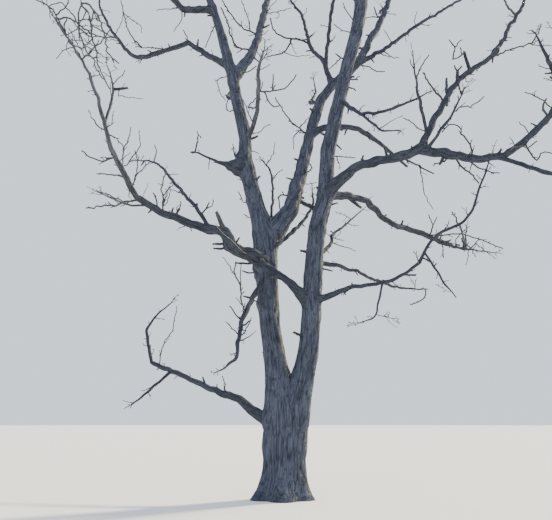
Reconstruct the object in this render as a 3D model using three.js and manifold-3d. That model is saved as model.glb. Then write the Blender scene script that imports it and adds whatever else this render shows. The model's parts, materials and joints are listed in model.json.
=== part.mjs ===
// A dead tree, bare from its root flare to its tips.
// One short trunk divides near the ground into two main stems, and the left one divides again higher up.
// Lengths are millimetres and angles are degrees. The origin is on the ground under the trunk and +Z is up.
// A bearing of 0 is +X, the tree's right from the front, and 90 is +Y, away behind it.

import * as THREE from "three";
import { mergeVertices } from "three/addons/utils/BufferGeometryUtils.js";
import Module from "manifold-3d";

const wasm = await Module();
wasm.setup();

// Where one limb grows from another: the gap between the two solids, and the swollen collar
const SEAT_GAP = 0.3;
const COLLAR_SWELL = 0.3;
const COLLAR_REACH = 0.8;

// Corners nearer than this are one corner.
const WELD = 0.001;

// Fineness of the solids, by the thickness that a limb starts with. A limb may have a step of its own.
const FINENESS = [
  { thick: 400, sides: 10, ringStep: 640 },
  { thick: 180, sides: 8, ringStep: 560 },
  { thick: 0, sides: 6, ringStep: 560 },
];

// The trunk, from its flat cut at the ground to the fork
const TRUNK = {
  height: 1700,
  halfWidth: 450,
  halfDepth: 330,
  forkShift: 70,
  shoulderShare: 0.75,
  shoulderIn: 0.3,
  flareOut: 210,
  flareHeight: 330,
  buttresses: 5,
  buttressRise: 0.35,
  sides: 20,
  rings: 8,
};

// Each leg of a limb is [length, bearing, climb above level, thickness at its end].
const STEMS = [
  {
    name: "left_stem",
    foot: [-100, 0, 1300],
    thick: 520,
    legs: [
      [1450, 165, 88, 480],
      [1100, 165, 82, 490],
      [2100, 158, 86, 540],
      [750, 170, 78, 440],
      [1500, 165, 76, 380],
      [900, 140, 85, 340],
      [1200, 168, 78, 320],
      [800, 180, 79, 290],
      [1400, 170, 76, 250],
      [1300, 180, 73, 200],
      [1900, 190, 68, 150],
      [1800, 165, 72, 90],
      [1200, 230, 78, 35],
    ],
  },
  {
    name: "right_stem",
    foot: [270, -20, 1300],
    thick: 500,
    legs: [
      [800, 350, 81, 480],
      [1100, 350, 79, 470],
      [3050, 327, 84, 410],
      [900, 345, 76, 380],
      [900, 320, 85, 365],
      [900, 345, 78, 340],
      [1900, 358, 77, 325],
      [1100, 353, 75, 340],
      [850, 0, 80, 330],
      [650, 280, 85, 280],
      [1600, 265, 78, 220],
      [1800, 315, 79, 160],
      [1600, 235, 81, 100],
      [1200, 345, 80, 35],
    ],
  },
  {
    name: "middle_stem",
    from: "left_stem",
    at: 4600,
    thick: 470,
    legs: [
      [1150, 19, 57, 400],
      [1700, 38, 71, 310],
      [2150, 33, 73, 290],
      [700, 5, 58, 260],
      [900, 0, 43, 240],
      [900, 15, 61, 200],
      [1500, 25, 63, 170],
      [900, 35, 66, 140],
      [1500, 45, 73, 100],
      [1500, 25, 71, 35],
    ],
  },
  {
    name: "left_inner_leader",
    from: "left_stem",
    at: 9600,
    thick: 285,
    legs: [
      [1300, 25, 64, 230],
      [1600, 52, 72, 205],
      [2400, 60, 73, 165],
      [1600, 20, 76, 100],
      [1400, 105, 74, 35],
    ],
  },
  {
    name: "right_fork_leader",
    from: "right_stem",
    at: 11450,
    thick: 300,
    legs: [
      [500, 15, 66, 270],
      [1500, 30, 56, 230],
      [1800, 40, 65, 170],
      [1600, 15, 60, 100],
      [1300, 40, 69, 35],
    ],
  },
];

const LEFT_BOUGHS = [
  {
    name: "left_bough",
    from: "left_stem",
    at: 4100,
    thick: 360,
    legs: [
      [500, 235, 8, 290],
      [700, 215, 10, 260],
      [400, 220, 47, 240],
      [400, 205, 6, 200],
      [1000, 210, 11, 160],
      [700, 223, 13.5, 145],
    ],
  },
  {
    name: "left_bough_rise",
    from: "left_bough",
    thick: 145,
    legs: [
      [1100, 220, 54, 100],
      [500, 240, 63, 88],
      [1300, 205, 69, 64],
      [900, 214, 52, 40],
      [700, 220, 49, 22],
    ],
  },
  {
    name: "left_bough_fork",
    from: "left_bough_rise",
    at: 1700,
    thick: 72,
    legs: [
      [1100, 90, 72, 50],
      [1000, 135, 64, 22],
    ],
  },
  {
    name: "left_low_shoot",
    from: "left_bough",
    at: 3450,
    thick: 65,
    legs: [
      [450, 235, -25, 50],
      [700, 225, 5, 25],
    ],
  },
  {
    name: "left_rising_bough",
    from: "left_bough",
    at: 1850,
    thick: 110,
    legs: [
      [600, 155, 55, 88],
      [2100, 135, 45, 76],
      [800, 135, 42, 58],
      [1000, 138, 22, 28],
    ],
  },
  {
    name: "snapped_stub",
    from: "left_bough",
    at: 1350,
    thick: 150,
    legs: [
      [400, 230, 68, 100],
      [300, 225, 54, 75],
    ],
  },
  {
    name: "low_left_bough",
    from: "left_stem",
    at: 300,
    thick: 290,
    legs: [
      [350, 175, 18, 240],
      [850, 155, 33, 175],
      [800, 152, 16, 145],
      [600, 149, 24, 130],
      [1400, 153, 20, 115],
    ],
  },
  {
    name: "low_left_tip",
    from: "low_left_bough",
    thick: 110,
    legs: [
      [1100, 125, 70, 70],
      [900, 20, 49, 30],
    ],
  },
  {
    name: "low_left_spur",
    from: "low_left_bough",
    at: 3300,
    thick: 105,
    legs: [
      [400, 210, -43, 85],
      [900, 215, -40, 35],
    ],
  },
  {
    name: "drooping_bough",
    from: "left_stem",
    at: 3700,
    thick: 190,
    legs: [
      [500, 235, -42, 130],
      [1100, 245, -48, 105],
      [1000, 258, -58, 80],
      [300, 250, -52, 60],
      [400, 230, -24, 25],
    ],
  },
  {
    name: "canker_bough",
    from: "left_stem",
    at: 6790,
    thick: 340,
    ringStep: 160,
    legs: [
      [330, 205, 3, 300],
      [330, 205, 0, 105],
      [150, 212, 8, 66],
      [420, 212, 8, 50],
      [250, 210, 8, 44],
      [90, 200, -12, 40],
    ],
  },
  {
    name: "far_left_bough",
    from: "left_stem",
    at: 10100,
    thick: 220,
    legs: [
      [300, 160, 33, 175],
      [1600, 155, 42, 140],
    ],
  },
  {
    name: "far_left_reach",
    from: "far_left_bough",
    thick: 140,
    legs: [
      [1500, 160, -4, 135],
      [500, 155, 22, 120],
      [2600, 158, 56, 75],
      [1800, 142, 75, 30],
    ],
  },
  {
    name: "top_left_bough",
    from: "left_stem",
    at: 12100,
    thick: 220,
    legs: [
      [300, 205, -15, 200],
      [650, 220, -28, 175],
      [400, 230, -7, 155],
      [1500, 220, 54, 100],
      [1600, 220, 53, 30],
    ],
  },
  {
    name: "pale_bough",
    from: "left_stem",
    at: 7650,
    thick: 150,
    legs: [
      [300, 315, 31, 120],
      [1000, 288, 50, 110],
      [700, 272, 38, 90],
      [450, 288, 26, 40],
    ],
  },
];

const MIDDLE_BOUGHS = [
  {
    name: "crotch_shoot",
    from: "middle_stem",
    at: 450,
    thick: 100,
    legs: [
      [500, 125, 72, 70],
      [1000, 85, 67, 60],
      [1000, 110, 66, 50],
      [300, 140, 47, 30],
    ],
  },
  {
    name: "between_bough",
    from: "middle_stem",
    at: 350,
    thick: 150,
    legs: [
      [400, 37, 2, 110],
      [1200, 47, 43, 85],
      [700, 60, 54, 65],
      [600, 87, 60, 30],
    ],
  },
  {
    name: "behind_bough",
    from: "middle_stem",
    at: 3700,
    thick: 185,
    legs: [
      [300, 345, 41, 160],
      [1100, 20, 16, 150],
      [500, 27, -6, 145],
      [1800, 33, -21, 70],
    ],
  },
  {
    name: "upper_right_bough",
    from: "middle_stem",
    at: 6700,
    thick: 160,
    legs: [
      [1400, 20, 39, 115],
      [1400, 25, 45, 105],
      [2700, 18, 40, 75],
      [1000, 30, 39, 30],
    ],
  },
  {
    name: "upright_fork_left",
    from: "middle_stem",
    at: 5500,
    thick: 170,
    legs: [
      [800, 90, 86, 140],
      [1100, 140, 60, 115],
      [2200, 105, 65, 95],
      [1000, 130, 61, 70],
      [1700, 125, 65, 30],
    ],
  },
  {
    name: "upright_fork_right",
    from: "upright_fork_left",
    at: 750,
    thick: 125,
    legs: [
      [700, 260, 87, 110],
      [1500, 318, 79, 95],
      [1900, 325, 82, 65],
      [1700, 225, 83, 30],
    ],
  },
];

const RIGHT_BOUGHS = [
  {
    name: "cross_limb",
    from: "right_stem",
    at: 3000,
    thick: 240,
    legs: [
      [600, 210, 40, 190],
      [600, 193, 39, 150],
      [300, 170, 35, 135],
    ],
  },
  {
    name: "low_right_bough",
    from: "right_stem",
    at: 3000,
    thick: 200,
    legs: [
      [750, 320, 18, 118],
      [1100, 308, 0, 84],
      [500, 307, -8, 72],
      [900, 305, 15, 64],
    ],
  },
  {
    name: "low_right_rise",
    from: "low_right_bough",
    thick: 64,
    legs: [
      [550, 297, 44, 60],
      [700, 327, 21, 52],
      [600, 302, 54, 42],
      [600, 315, 63, 22],
    ],
  },
  {
    name: "hanging_bough",
    from: "low_right_bough",
    at: 2050,
    thick: 54,
    legs: [
      [500, 255, -63, 44],
      [400, 230, -59, 36],
      [500, 220, -22, 20],
    ],
  },
  {
    name: "falling_bough",
    from: "low_right_rise",
    at: 250,
    thick: 50,
    legs: [
      [800, 287, -58, 40],
      [600, 286, -47, 20],
    ],
  },
  {
    name: "spreading_bough",
    from: "right_stem",
    at: 3850,
    thick: 160,
    legs: [
      [400, 35, 34, 120],
      [1100, 42, 3, 85],
      [1700, 40, -6, 70],
      [1400, 35, 5, 30],
    ],
  },
  {
    name: "rear_bough",
    from: "right_stem",
    at: 4200,
    thick: 140,
    legs: [
      [1000, 58, 32, 95],
      [500, 72, 48, 80],
      [900, 56, 35, 60],
      [1300, 48, 38, 25],
    ],
  },
  {
    name: "back_right_bough",
    from: "right_stem",
    at: 5850,
    thick: 225,
    legs: [
      [1600, 40, 8, 165],
      [900, 40, -25, 152],
      [1000, 38, 0, 158],
      [1500, 32, -8, 130],
      [250, 30, -3, 75],
      [1850, 28, 2, 28],
    ],
  },
  {
    name: "right_bough",
    from: "right_stem",
    at: 5650,
    thick: 330,
    legs: [
      [900, 316, 37, 225],
      [500, 330, 12, 200],
      [1000, 330, 0, 205],
      [500, 323, 8, 212],
    ],
  },
  {
    name: "right_bough_upper",
    from: "right_bough",
    at: 2700,
    thick: 180,
    legs: [
      [450, 0, 60, 152],
      [1550, 23, 58, 135],
      [600, 23, 52, 130],
      [1700, 24, 42, 120],
      [1600, 33, 54, 108],
      [1600, 28, 56, 80],
      [1800, 30, 71, 30],
    ],
  },
  {
    name: "right_bough_dip",
    from: "right_bough",
    thick: 212,
    legs: [
      [1000, 315, -37, 180],
      [900, 320, -14, 135],
    ],
  },
  {
    name: "right_bough_arc",
    from: "right_bough_dip",
    thick: 132,
    legs: [
      [1100, 11, 40, 130],
      [1200, 25, 48, 130],
      [600, 53, 65, 120],
      [700, 80, 71, 100],
      [1200, 100, 74, 35],
    ],
  },
  {
    name: "right_low_fork",
    from: "right_bough_dip",
    at: 1700,
    thick: 100,
    legs: [
      [700, 310, -36, 85],
      [500, 315, -38, 80],
      [700, 340, -4, 65],
      [900, 333, 24, 30],
    ],
  },
  {
    name: "fork_shoot",
    from: "right_bough",
    at: 2750,
    thick: 95,
    legs: [
      [650, 303, 13, 65],
      [400, 292, 27, 55],
      [600, 293, 40, 20],
    ],
  },
  {
    name: "right_upright",
    from: "right_bough_upper",
    at: 550,
    thick: 95,
    legs: [
      [700, 240, 38, 70],
      [1000, 248, 46, 25],
    ],
  },
  {
    name: "front_bough",
    from: "right_stem",
    at: 8550,
    thick: 130,
    legs: [
      [1400, 297, -45, 80],
      [1200, 308, -16, 60],
      [700, 306, -5, 25],
    ],
  },
  {
    name: "front_bough_fork",
    from: "front_bough",
    at: 1300,
    thick: 75,
    legs: [
      [1400, 292, -46, 45],
      [500, 300, -24, 20],
    ],
  },
];

// The boughs behind the stems and high in the crown share one habit: out, then lower and wider, then up.
// Each step of the habit is [share of the length, turn, lift, share of the thickness left at its end].
const CROWN_HABIT = [
  [0.22, 0, 6, 0.78],
  [0.26, 14, -8, 0.62],
  [0.28, -12, 6, 0.44],
  [0.24, 6, 22, 0.2],
];

// Each row is name, the limb it grows from, place along it, thickness, length, bearing and climb.
const CROWN_BOUGHS = [
  ["rear_left_bough", "left_stem", 5600, 170, 4700, 96, 42],
  ["rear_low_bough", "right_stem", 5100, 150, 4100, 95, 38],
  ["rear_middle_bough", "middle_stem", 4700, 150, 4300, 85, 40],
  ["rear_upper_bough", "left_stem", 8700, 140, 4000, 100, 42],
  ["crown_right_bough", "right_stem", 12600, 150, 3600, 330, 44],
  ["crown_back_bough", "right_stem", 13700, 140, 4000, 105, 40],
  ["crown_front_bough", "right_stem", 13200, 140, 4000, 258, 38],
  ["crown_left_bough", "left_stem", 13800, 120, 2900, 195, 42],
  ["left_front_bough", "left_stem", 12700, 130, 3800, 272, 38],
  ["leader_back_bough", "left_inner_leader", 4200, 115, 3400, 115, 36],
  ["leader_front_bough", "left_inner_leader", 5200, 100, 2600, 300, 40],
  ["fork_right_bough", "right_fork_leader", 2500, 120, 3100, 340, 38],
  ["fork_back_bough", "right_fork_leader", 3500, 110, 3200, 90, 40],
  ["middle_top_bough", "middle_stem", 9700, 115, 3400, 80, 34],
].map(([name, from, at, thick, long, bearing, climb]) => {
  const legs = CROWN_HABIT.map(([share, turn, lift, left]) => [
    share * long,
    bearing + turn,
    climb + lift,
    left * thick,
  ]);
  return { name, from, at, thick, legs };
});

const BARK = new THREE.MeshStandardMaterial({ color: 0x6d6961, roughness: 0.95, metalness: 0 });
const PALE_BARK = new THREE.MeshStandardMaterial({ color: 0x9a978c, roughness: 0.95, metalness: 0 });
const PALE_LIMBS = new Set(["left_bough_rise", "left_bough_fork", "left_low_shoot", "pale_bough"]);

function heading(bearing, climb) {
  const turn = THREE.MathUtils.degToRad(bearing);
  const rise = THREE.MathUtils.degToRad(climb);
  return new THREE.Vector3(
    Math.cos(rise) * Math.cos(turn),
    Math.cos(rise) * Math.sin(turn),
    Math.sin(rise),
  );
}

// The thickness at any distance along a limb, which tapers evenly down each leg.
function taperOf(thick, legs) {
  return (reach) => {
    let before = 0;
    let thickness = thick;
    for (const [length, , , end] of legs) {
      if (reach < before + length) {
        return THREE.MathUtils.lerp(thickness, end, (reach - before) / length);
      }
      before += length;
      thickness = end;
    }
    return thickness;
  };
}

// A limb's middle line and its radius. It starts inside the limb it grows from, or at the end of it.
function courseOf({ foot, from, at, thick, ringStep, legs }, grown) {
  const parent = grown.get(from);
  const endToEnd = at === undefined;
  const place = parent && (endToEnd ? 1 : at / parent.curve.getLength());
  const points = [parent ? parent.curve.getPointAt(place) : new THREE.Vector3(...foot)];
  for (const [length, bearing, climb] of legs) {
    points.push(points.at(-1).clone().addScaledVector(heading(bearing, climb), length));
  }
  const long = legs.reduce((sum, [length]) => sum + length, 0);
  const thicknessAt = taperOf(thick, legs);
  const swell = endToEnd ? 0 : COLLAR_SWELL;
  const barkStart = parent ? parent.thick / 2 : 0;
  const radiusAt = (share) => {
    const outside = Math.max(0, share * long - barkStart);
    const collar = 1 + swell * Math.exp(-outside / (COLLAR_REACH * thick));
    return (collar * thicknessAt(share * long)) / 2;
  };
  const curve = new THREE.CatmullRomCurve3(points, false, "centripetal");
  return { curve, long, thick, ringStep, radiusAt };
}

// A cylinder's rings, carried along the limb's middle line. With a margin, it is what cuts its neighbours.
function limbGeometry({ curve, long, thick, ringStep, radiusAt }, margin = 0) {
  const grade = FINENESS.find((each) => thick >= each.thick);
  const { sides } = grade;
  const rings = Math.max(2, Math.round(long / (ringStep ?? grade.ringStep)));
  const geometry = new THREE.CylinderGeometry(1, 1, 1, sides, rings);
  const frames = curve.computeFrenetFrames(rings);
  const position = geometry.getAttribute("position");
  for (let index = 0; index < position.count; index += 1) {
    const ring = Math.round((position.getY(index) + 0.5) * rings);
    const share = ring / rings;
    const reach = radiusAt(share) + margin;
    const place = curve
      .getPointAt(share)
      .addScaledVector(frames.normals[ring], position.getX(index) * reach)
      .addScaledVector(frames.binormals[ring], -position.getZ(index) * reach);
    if (ring === 0) {
      place.addScaledVector(frames.tangents[ring], -margin);
    }
    if (ring === rings) {
      place.addScaledVector(frames.tangents[ring], margin);
    }
    position.setXYZ(index, place.x, place.y, place.z);
  }
  return geometry;
}

// An oval column that spreads into root buttresses at the ground and rounds over at the fork.
function trunkGeometry(margin = 0) {
  const geometry = new THREE.CylinderGeometry(1, 1, 1, TRUNK.sides, TRUNK.rings);
  const position = geometry.getAttribute("position");
  for (let index = 0; index < position.count; index += 1) {
    const share = position.getY(index) + 0.5;
    const height = TRUNK.height * share;
    const turn = Math.atan2(position.getX(index), position.getZ(index));
    const size = Math.hypot(position.getX(index), position.getZ(index));
    const spread = TRUNK.flareOut * Math.exp(-height / TRUNK.flareHeight);
    const lobe = 1 + TRUNK.buttressRise * Math.cos(TRUNK.buttresses * turn);
    const shoulder = Math.max(0, share - TRUNK.shoulderShare) / (1 - TRUNK.shoulderShare);
    const round = 1 - TRUNK.shoulderIn * shoulder ** 2;
    const halfWidth = (TRUNK.halfWidth * round + spread * lobe + margin) * size;
    const halfDepth = (TRUNK.halfDepth * round + spread * lobe + margin) * size;
    const along = TRUNK.forkShift * share + halfWidth * Math.sin(turn);
    const across = -halfDepth * Math.cos(turn);
    position.setXYZ(index, along, across, height + (share === 1 ? margin : 0));
  }
  return geometry;
}

function toSolid(geometry) {
  geometry.deleteAttribute("normal");
  geometry.deleteAttribute("uv");
  const joined = mergeVertices(geometry, WELD);
  return new wasm.Manifold(new wasm.Mesh({
    numProp: 3,
    vertProperties: new Float32Array(joined.getAttribute("position").array),
    triVerts: new Uint32Array(joined.index.array),
  }));
}

function toMesh(name, solid) {
  const { vertProperties, triVerts } = solid.getMesh();
  const geometry = new THREE.BufferGeometry();
  geometry.setAttribute("position", new THREE.BufferAttribute(new Float32Array(vertProperties), 3));
  geometry.setIndex(new THREE.BufferAttribute(new Uint32Array(triVerts), 1));
  geometry.computeVertexNormals();
  const mesh = new THREE.Mesh(geometry, PALE_LIMBS.has(name) ? PALE_BARK : BARK);
  mesh.name = name;
  return mesh;
}

function boxesMeet(one, other) {
  const a = one.boundingBox();
  const b = other.boundingBox();
  return [0, 1, 2].every((axis) => a.min[axis] <= b.max[axis] && b.min[axis] <= a.max[axis]);
}

// A limb's bark stops where it meets wood that is already there.
function seat(solid, cutters) {
  const near = cutters.filter((cutter) => boxesMeet(solid, cutter));
  const seated = near.reduce((rest, cutter) => rest.subtract(cutter), solid);
  const bodies = seated.decompose();
  bodies.sort((one, other) => other.volume() - one.volume());
  return bodies[0];
}

function growTree() {
  const tree = new THREE.Group();
  const grown = new Map();
  const cutters = [toSolid(trunkGeometry(SEAT_GAP))];
  tree.add(toMesh("trunk", toSolid(trunkGeometry())));
  const limbs = [...STEMS, ...LEFT_BOUGHS, ...MIDDLE_BOUGHS, ...RIGHT_BOUGHS, ...CROWN_BOUGHS];
  for (const limb of limbs) {
    const course = courseOf(limb, grown);
    grown.set(limb.name, course);
    tree.add(toMesh(limb.name, seat(toSolid(limbGeometry(course)), cutters)));
    cutters.push(toSolid(limbGeometry(course, SEAT_GAP)));
  }
  return tree;
}

const tree = growTree();
export default tree;
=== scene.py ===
"""A dead tree, bare from its root flare to its tips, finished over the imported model.

Every limb's middle line and thickness are walked off its node, and a skin of furrowed bark is wrapped round
them. Twigs then grow on from the limbs by a seeded rule. Lengths are metres unless a name says otherwise,
+Z is up, +X is the tree's right seen from the front, and the origin is on the ground under the trunk.
"""

import sys

import itertools
import json
import logging
import math
from dataclasses import dataclass, field
from enum import Enum

import bmesh
import bpy
import numpy as np
from bmesh.types import BMEdge, BMesh, BMFace
from bpy.types import Material, Mesh, Node, NodeSocket, NodeTree, Object
from mathutils import Matrix, Vector

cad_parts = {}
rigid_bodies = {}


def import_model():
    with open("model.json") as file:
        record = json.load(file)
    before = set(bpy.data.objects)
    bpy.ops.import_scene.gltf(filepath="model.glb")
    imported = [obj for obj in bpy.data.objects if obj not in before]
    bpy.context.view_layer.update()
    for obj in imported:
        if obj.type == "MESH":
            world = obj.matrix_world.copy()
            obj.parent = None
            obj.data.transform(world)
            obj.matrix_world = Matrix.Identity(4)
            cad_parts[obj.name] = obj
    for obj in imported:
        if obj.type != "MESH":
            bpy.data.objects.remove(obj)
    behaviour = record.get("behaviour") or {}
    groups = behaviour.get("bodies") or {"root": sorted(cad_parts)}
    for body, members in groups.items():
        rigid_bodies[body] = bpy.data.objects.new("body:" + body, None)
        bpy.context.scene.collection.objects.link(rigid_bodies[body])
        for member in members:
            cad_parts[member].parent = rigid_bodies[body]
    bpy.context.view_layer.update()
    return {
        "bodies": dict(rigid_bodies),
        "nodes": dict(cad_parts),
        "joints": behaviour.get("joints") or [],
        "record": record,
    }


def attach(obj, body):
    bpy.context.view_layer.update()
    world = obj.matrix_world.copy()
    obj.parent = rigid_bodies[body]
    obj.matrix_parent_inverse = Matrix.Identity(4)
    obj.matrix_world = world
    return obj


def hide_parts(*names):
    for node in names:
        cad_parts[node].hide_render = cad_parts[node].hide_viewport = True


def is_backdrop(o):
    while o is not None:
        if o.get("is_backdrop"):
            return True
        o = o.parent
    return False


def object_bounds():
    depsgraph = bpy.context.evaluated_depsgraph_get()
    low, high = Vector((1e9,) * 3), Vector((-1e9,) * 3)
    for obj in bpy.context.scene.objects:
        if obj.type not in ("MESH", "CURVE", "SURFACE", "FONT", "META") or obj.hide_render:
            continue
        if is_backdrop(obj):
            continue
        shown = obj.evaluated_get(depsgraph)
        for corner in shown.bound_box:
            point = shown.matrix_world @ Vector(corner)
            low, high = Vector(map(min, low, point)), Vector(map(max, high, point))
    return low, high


LOG = logging.getLogger("dead_tree")
BODY = "root"
SEED = 20
UP = np.array((0.0, 0.0, 1.0))
FULL_TURN = 2 * math.pi

# A bend or spread angle is given in degrees and used in radians.
DEGREE = math.pi / 180

# Corners nearer than this are made one where a seam or a pole is closed.
SEAM = 1e-6

# A limb whose tip's radius is above this is carried on by another limb, and grows no twigs there.
THICK_TIP = 0.03

# The two main stems, which grow from the trunk
STEMS = ("left_stem", "right_stem")

# A limb whose tip has grown into another limb, and that limb
GRAFTS = (("cross_limb", "left_bough"),)

# The twelve directions from a cube's middle to its edges, which gradient noise is made from
NOISE_SLOPES = np.array([way for way in itertools.product((-1, 0, 1), repeat=3) if sum(map(abs, way)) == 2])

# Large primes that scatter a cell's three numbers and its salt, and one that mixes them
NOISE_PRIMES = (73856093, 19349663, 83492791, 2654435761)
NOISE_MIX = 1274126177

Array = np.ndarray
Pixel = tuple[float, float]
Span = tuple[float, float]


def linear(colour: str) -> tuple[float, float, float, float]:
    """Turns an sRGB hex colour into the linear red, green, blue and alpha that a shader takes."""
    parts = [int(colour[index : index + 2], 16) / 255 for index in (0, 2, 4)]
    return (*(part / 12.92 if part <= 0.04045 else ((part + 0.055) / 1.055) ** 2.4 for part in parts), 1.0)


def add_node(
    tree: NodeTree,
    kind: str,
    settings: dict[str, object] | None = None,
    values: dict[str | int, object] | None = None,
    links: dict[str | int, NodeSocket | Node] | None = None,
) -> Node:
    """Adds a shader node with its settings, its plain input values and its links.

    Args:
        tree: The material's node tree.
        kind: The node's type name, without the ShaderNode that it starts with.
        settings: Properties of the node itself.
        values: What unlinked inputs hold, by input name or number.
        links: What feeds each linked input, by name or number: an output, or a node for its first output.

    Returns:
        The new node.
    """
    node = tree.nodes.new(f"ShaderNode{kind}")
    for name, value in (settings or {}).items():
        setattr(node, name, value)
    for name, value in (values or {}).items():
        node.inputs[name].default_value = value
    for name, source in (links or {}).items():
        tree.links.new(source.outputs[0] if isinstance(source, Node) else source, node.inputs[name])
    return node


def empty_material(name: str) -> Material:
    """Makes a material whose node tree is still empty.

    Args:
        name: Its name.

    Returns:
        The material.
    """
    material = bpy.data.materials.new(name)
    material.use_nodes = True
    material.node_tree.nodes.clear()
    return material


def unit(vectors: Array) -> Array:
    """Scales each vector to a length of one."""
    return vectors / np.maximum(np.linalg.norm(vectors, axis=-1, keepdims=True), 1e-9)


def step_up(low: float, high: float, values: Array) -> Array:
    """Rises smoothly from 0 at low to 1 at high."""
    share = np.clip((values - low) / (high - low), 0, 1)
    return share * share * (3 - 2 * share)


def travelled(points: Array) -> Array:
    """How far along a line each of its points lies."""
    return np.concatenate(([0.0], np.cumsum(np.linalg.norm(np.diff(points, axis=0), axis=1))))


def noise(places: Array, salt: int) -> Array:
    """Gives smooth gradient noise that is the same on every run.

    Args:
        places: One row of three coordinates for each place. The noise turns about once in each unit.
        salt: A whole number that picks one of many such noises.

    Returns:
        A value from about -1 to 1 for each place.
    """
    cell = np.floor(places).astype(np.int64)
    part = places - cell
    fade = part**3 * (part * (part * 6 - 15) + 10)
    total = np.zeros(len(places))
    for corner in itertools.product((0, 1), repeat=3):
        mixed = salt * NOISE_PRIMES[3]
        for axis, prime in enumerate(NOISE_PRIMES[:3]):
            mixed = mixed ^ ((cell[:, axis] + corner[axis]) & 0xFFFF) * prime
        mixed = (mixed ^ (mixed >> 13)) * NOISE_MIX & 0x7FFFFFFF
        slope = NOISE_SLOPES[(mixed ^ (mixed >> 15)) % len(NOISE_SLOPES)]
        weight = np.prod(np.where(corner, fade, 1 - fade), axis=1)
        total += weight * ((part - corner) * slope).sum(axis=1)
    return total


def smooth_line(knots: Array, chord: Array, places: Array) -> Array:
    """Reads a smooth curve through knots.

    Args:
        knots: One row for each knot, of any number of columns.
        chord: How far along each knot lies.
        places: How far along the rows that are wanted lie.

    Returns:
        One row for each place.
    """
    slopes = np.gradient(knots, chord, axis=0)
    after = np.clip(np.searchsorted(chord, places, side="right"), 1, len(chord) - 1)
    before = after - 1
    gap = (chord[after] - chord[before])[:, None]
    share = ((places - chord[before])[:, None]) / gap
    bend = share * share * (3 - 2 * share)
    leave = share * (1 - share) ** 2
    reach = share * share * (share - 1)
    level = knots[before] * (1 - bend) + knots[after] * bend
    return level + gap * (slopes[before] * leave + slopes[after] * reach)


@dataclass(frozen=True)
class PhotoCamera:
    """The camera that took the photo, at eye height in front of the tree and tilted up by pitch degrees.

    Its focal length is in pixels of the photo, and its sensor's width in millimetres.
    """

    place: tuple[float, float, float] = (-0.15, -13.0, 1.6)
    pitch: float = 16.5
    focal: float = 550.0
    width: int = 552
    height: int = 520
    sensor: float = 36.0
    far: float = 2000.0

    @property
    def ahead(self) -> Array:
        """The direction that it looks in."""
        return np.array((0.0, math.cos(self.pitch * DEGREE), math.sin(self.pitch * DEGREE)))

    @property
    def above(self) -> Array:
        """The direction of the picture's top edge."""
        return np.array((0.0, -math.sin(self.pitch * DEGREE), math.cos(self.pitch * DEGREE)))

    def depth(self, places: Array) -> Array:
        """How far ahead of the camera each place is."""
        return (places - np.array(self.place)) @ self.ahead

    def pixels(self, places: Array) -> Array:
        """Finds where places show in the photo.

        Args:
            places: One row of three coordinates for each place.

        Returns:
            Their pixels, counted across and down from the photo's top left corner.
        """
        away = places - np.array(self.place)
        depth = np.maximum(away @ self.ahead, 0.1)
        across = self.width / 2 + self.focal * away[..., 0] / depth
        down = self.height / 2 - self.focal * (away @ self.above) / depth
        return np.stack((across, down), axis=-1)

    def misses(self, places: Array, pixel: Pixel) -> Array:
        """How many pixels away from one pixel each place shows."""
        return np.linalg.norm(self.pixels(places) - np.array(pixel), axis=1)

    def place_at(self, pixel: Pixel, depth: float) -> Array:
        """Finds the place that shows at a pixel and is at a depth ahead of the camera."""
        across, up = (pixel[0] - self.width / 2) / self.focal, (self.height / 2 - pixel[1]) / self.focal
        return np.array(self.place) + depth * (self.ahead + across * np.array((1.0, 0, 0)) + up * self.above)

    def sees(self, place: Array) -> bool:
        """Whether a place is inside the photo's frame."""
        across, down = self.pixels(place)
        return bool(0 < across < self.width and 0 < down < self.height)

    def add(self) -> None:
        """Adds it to the scene as the scene's camera."""
        lens = bpy.data.cameras.new("photo_camera")
        lens.sensor_width = self.sensor
        lens.lens = self.focal * self.sensor / self.width
        lens.clip_end = self.far
        camera = bpy.data.objects.new("photo_camera", lens)
        camera.location = self.place
        camera.rotation_euler = ((90 + self.pitch) * DEGREE, 0, 0)
        bpy.context.scene.collection.objects.link(camera)
        bpy.context.scene.camera = camera


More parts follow.
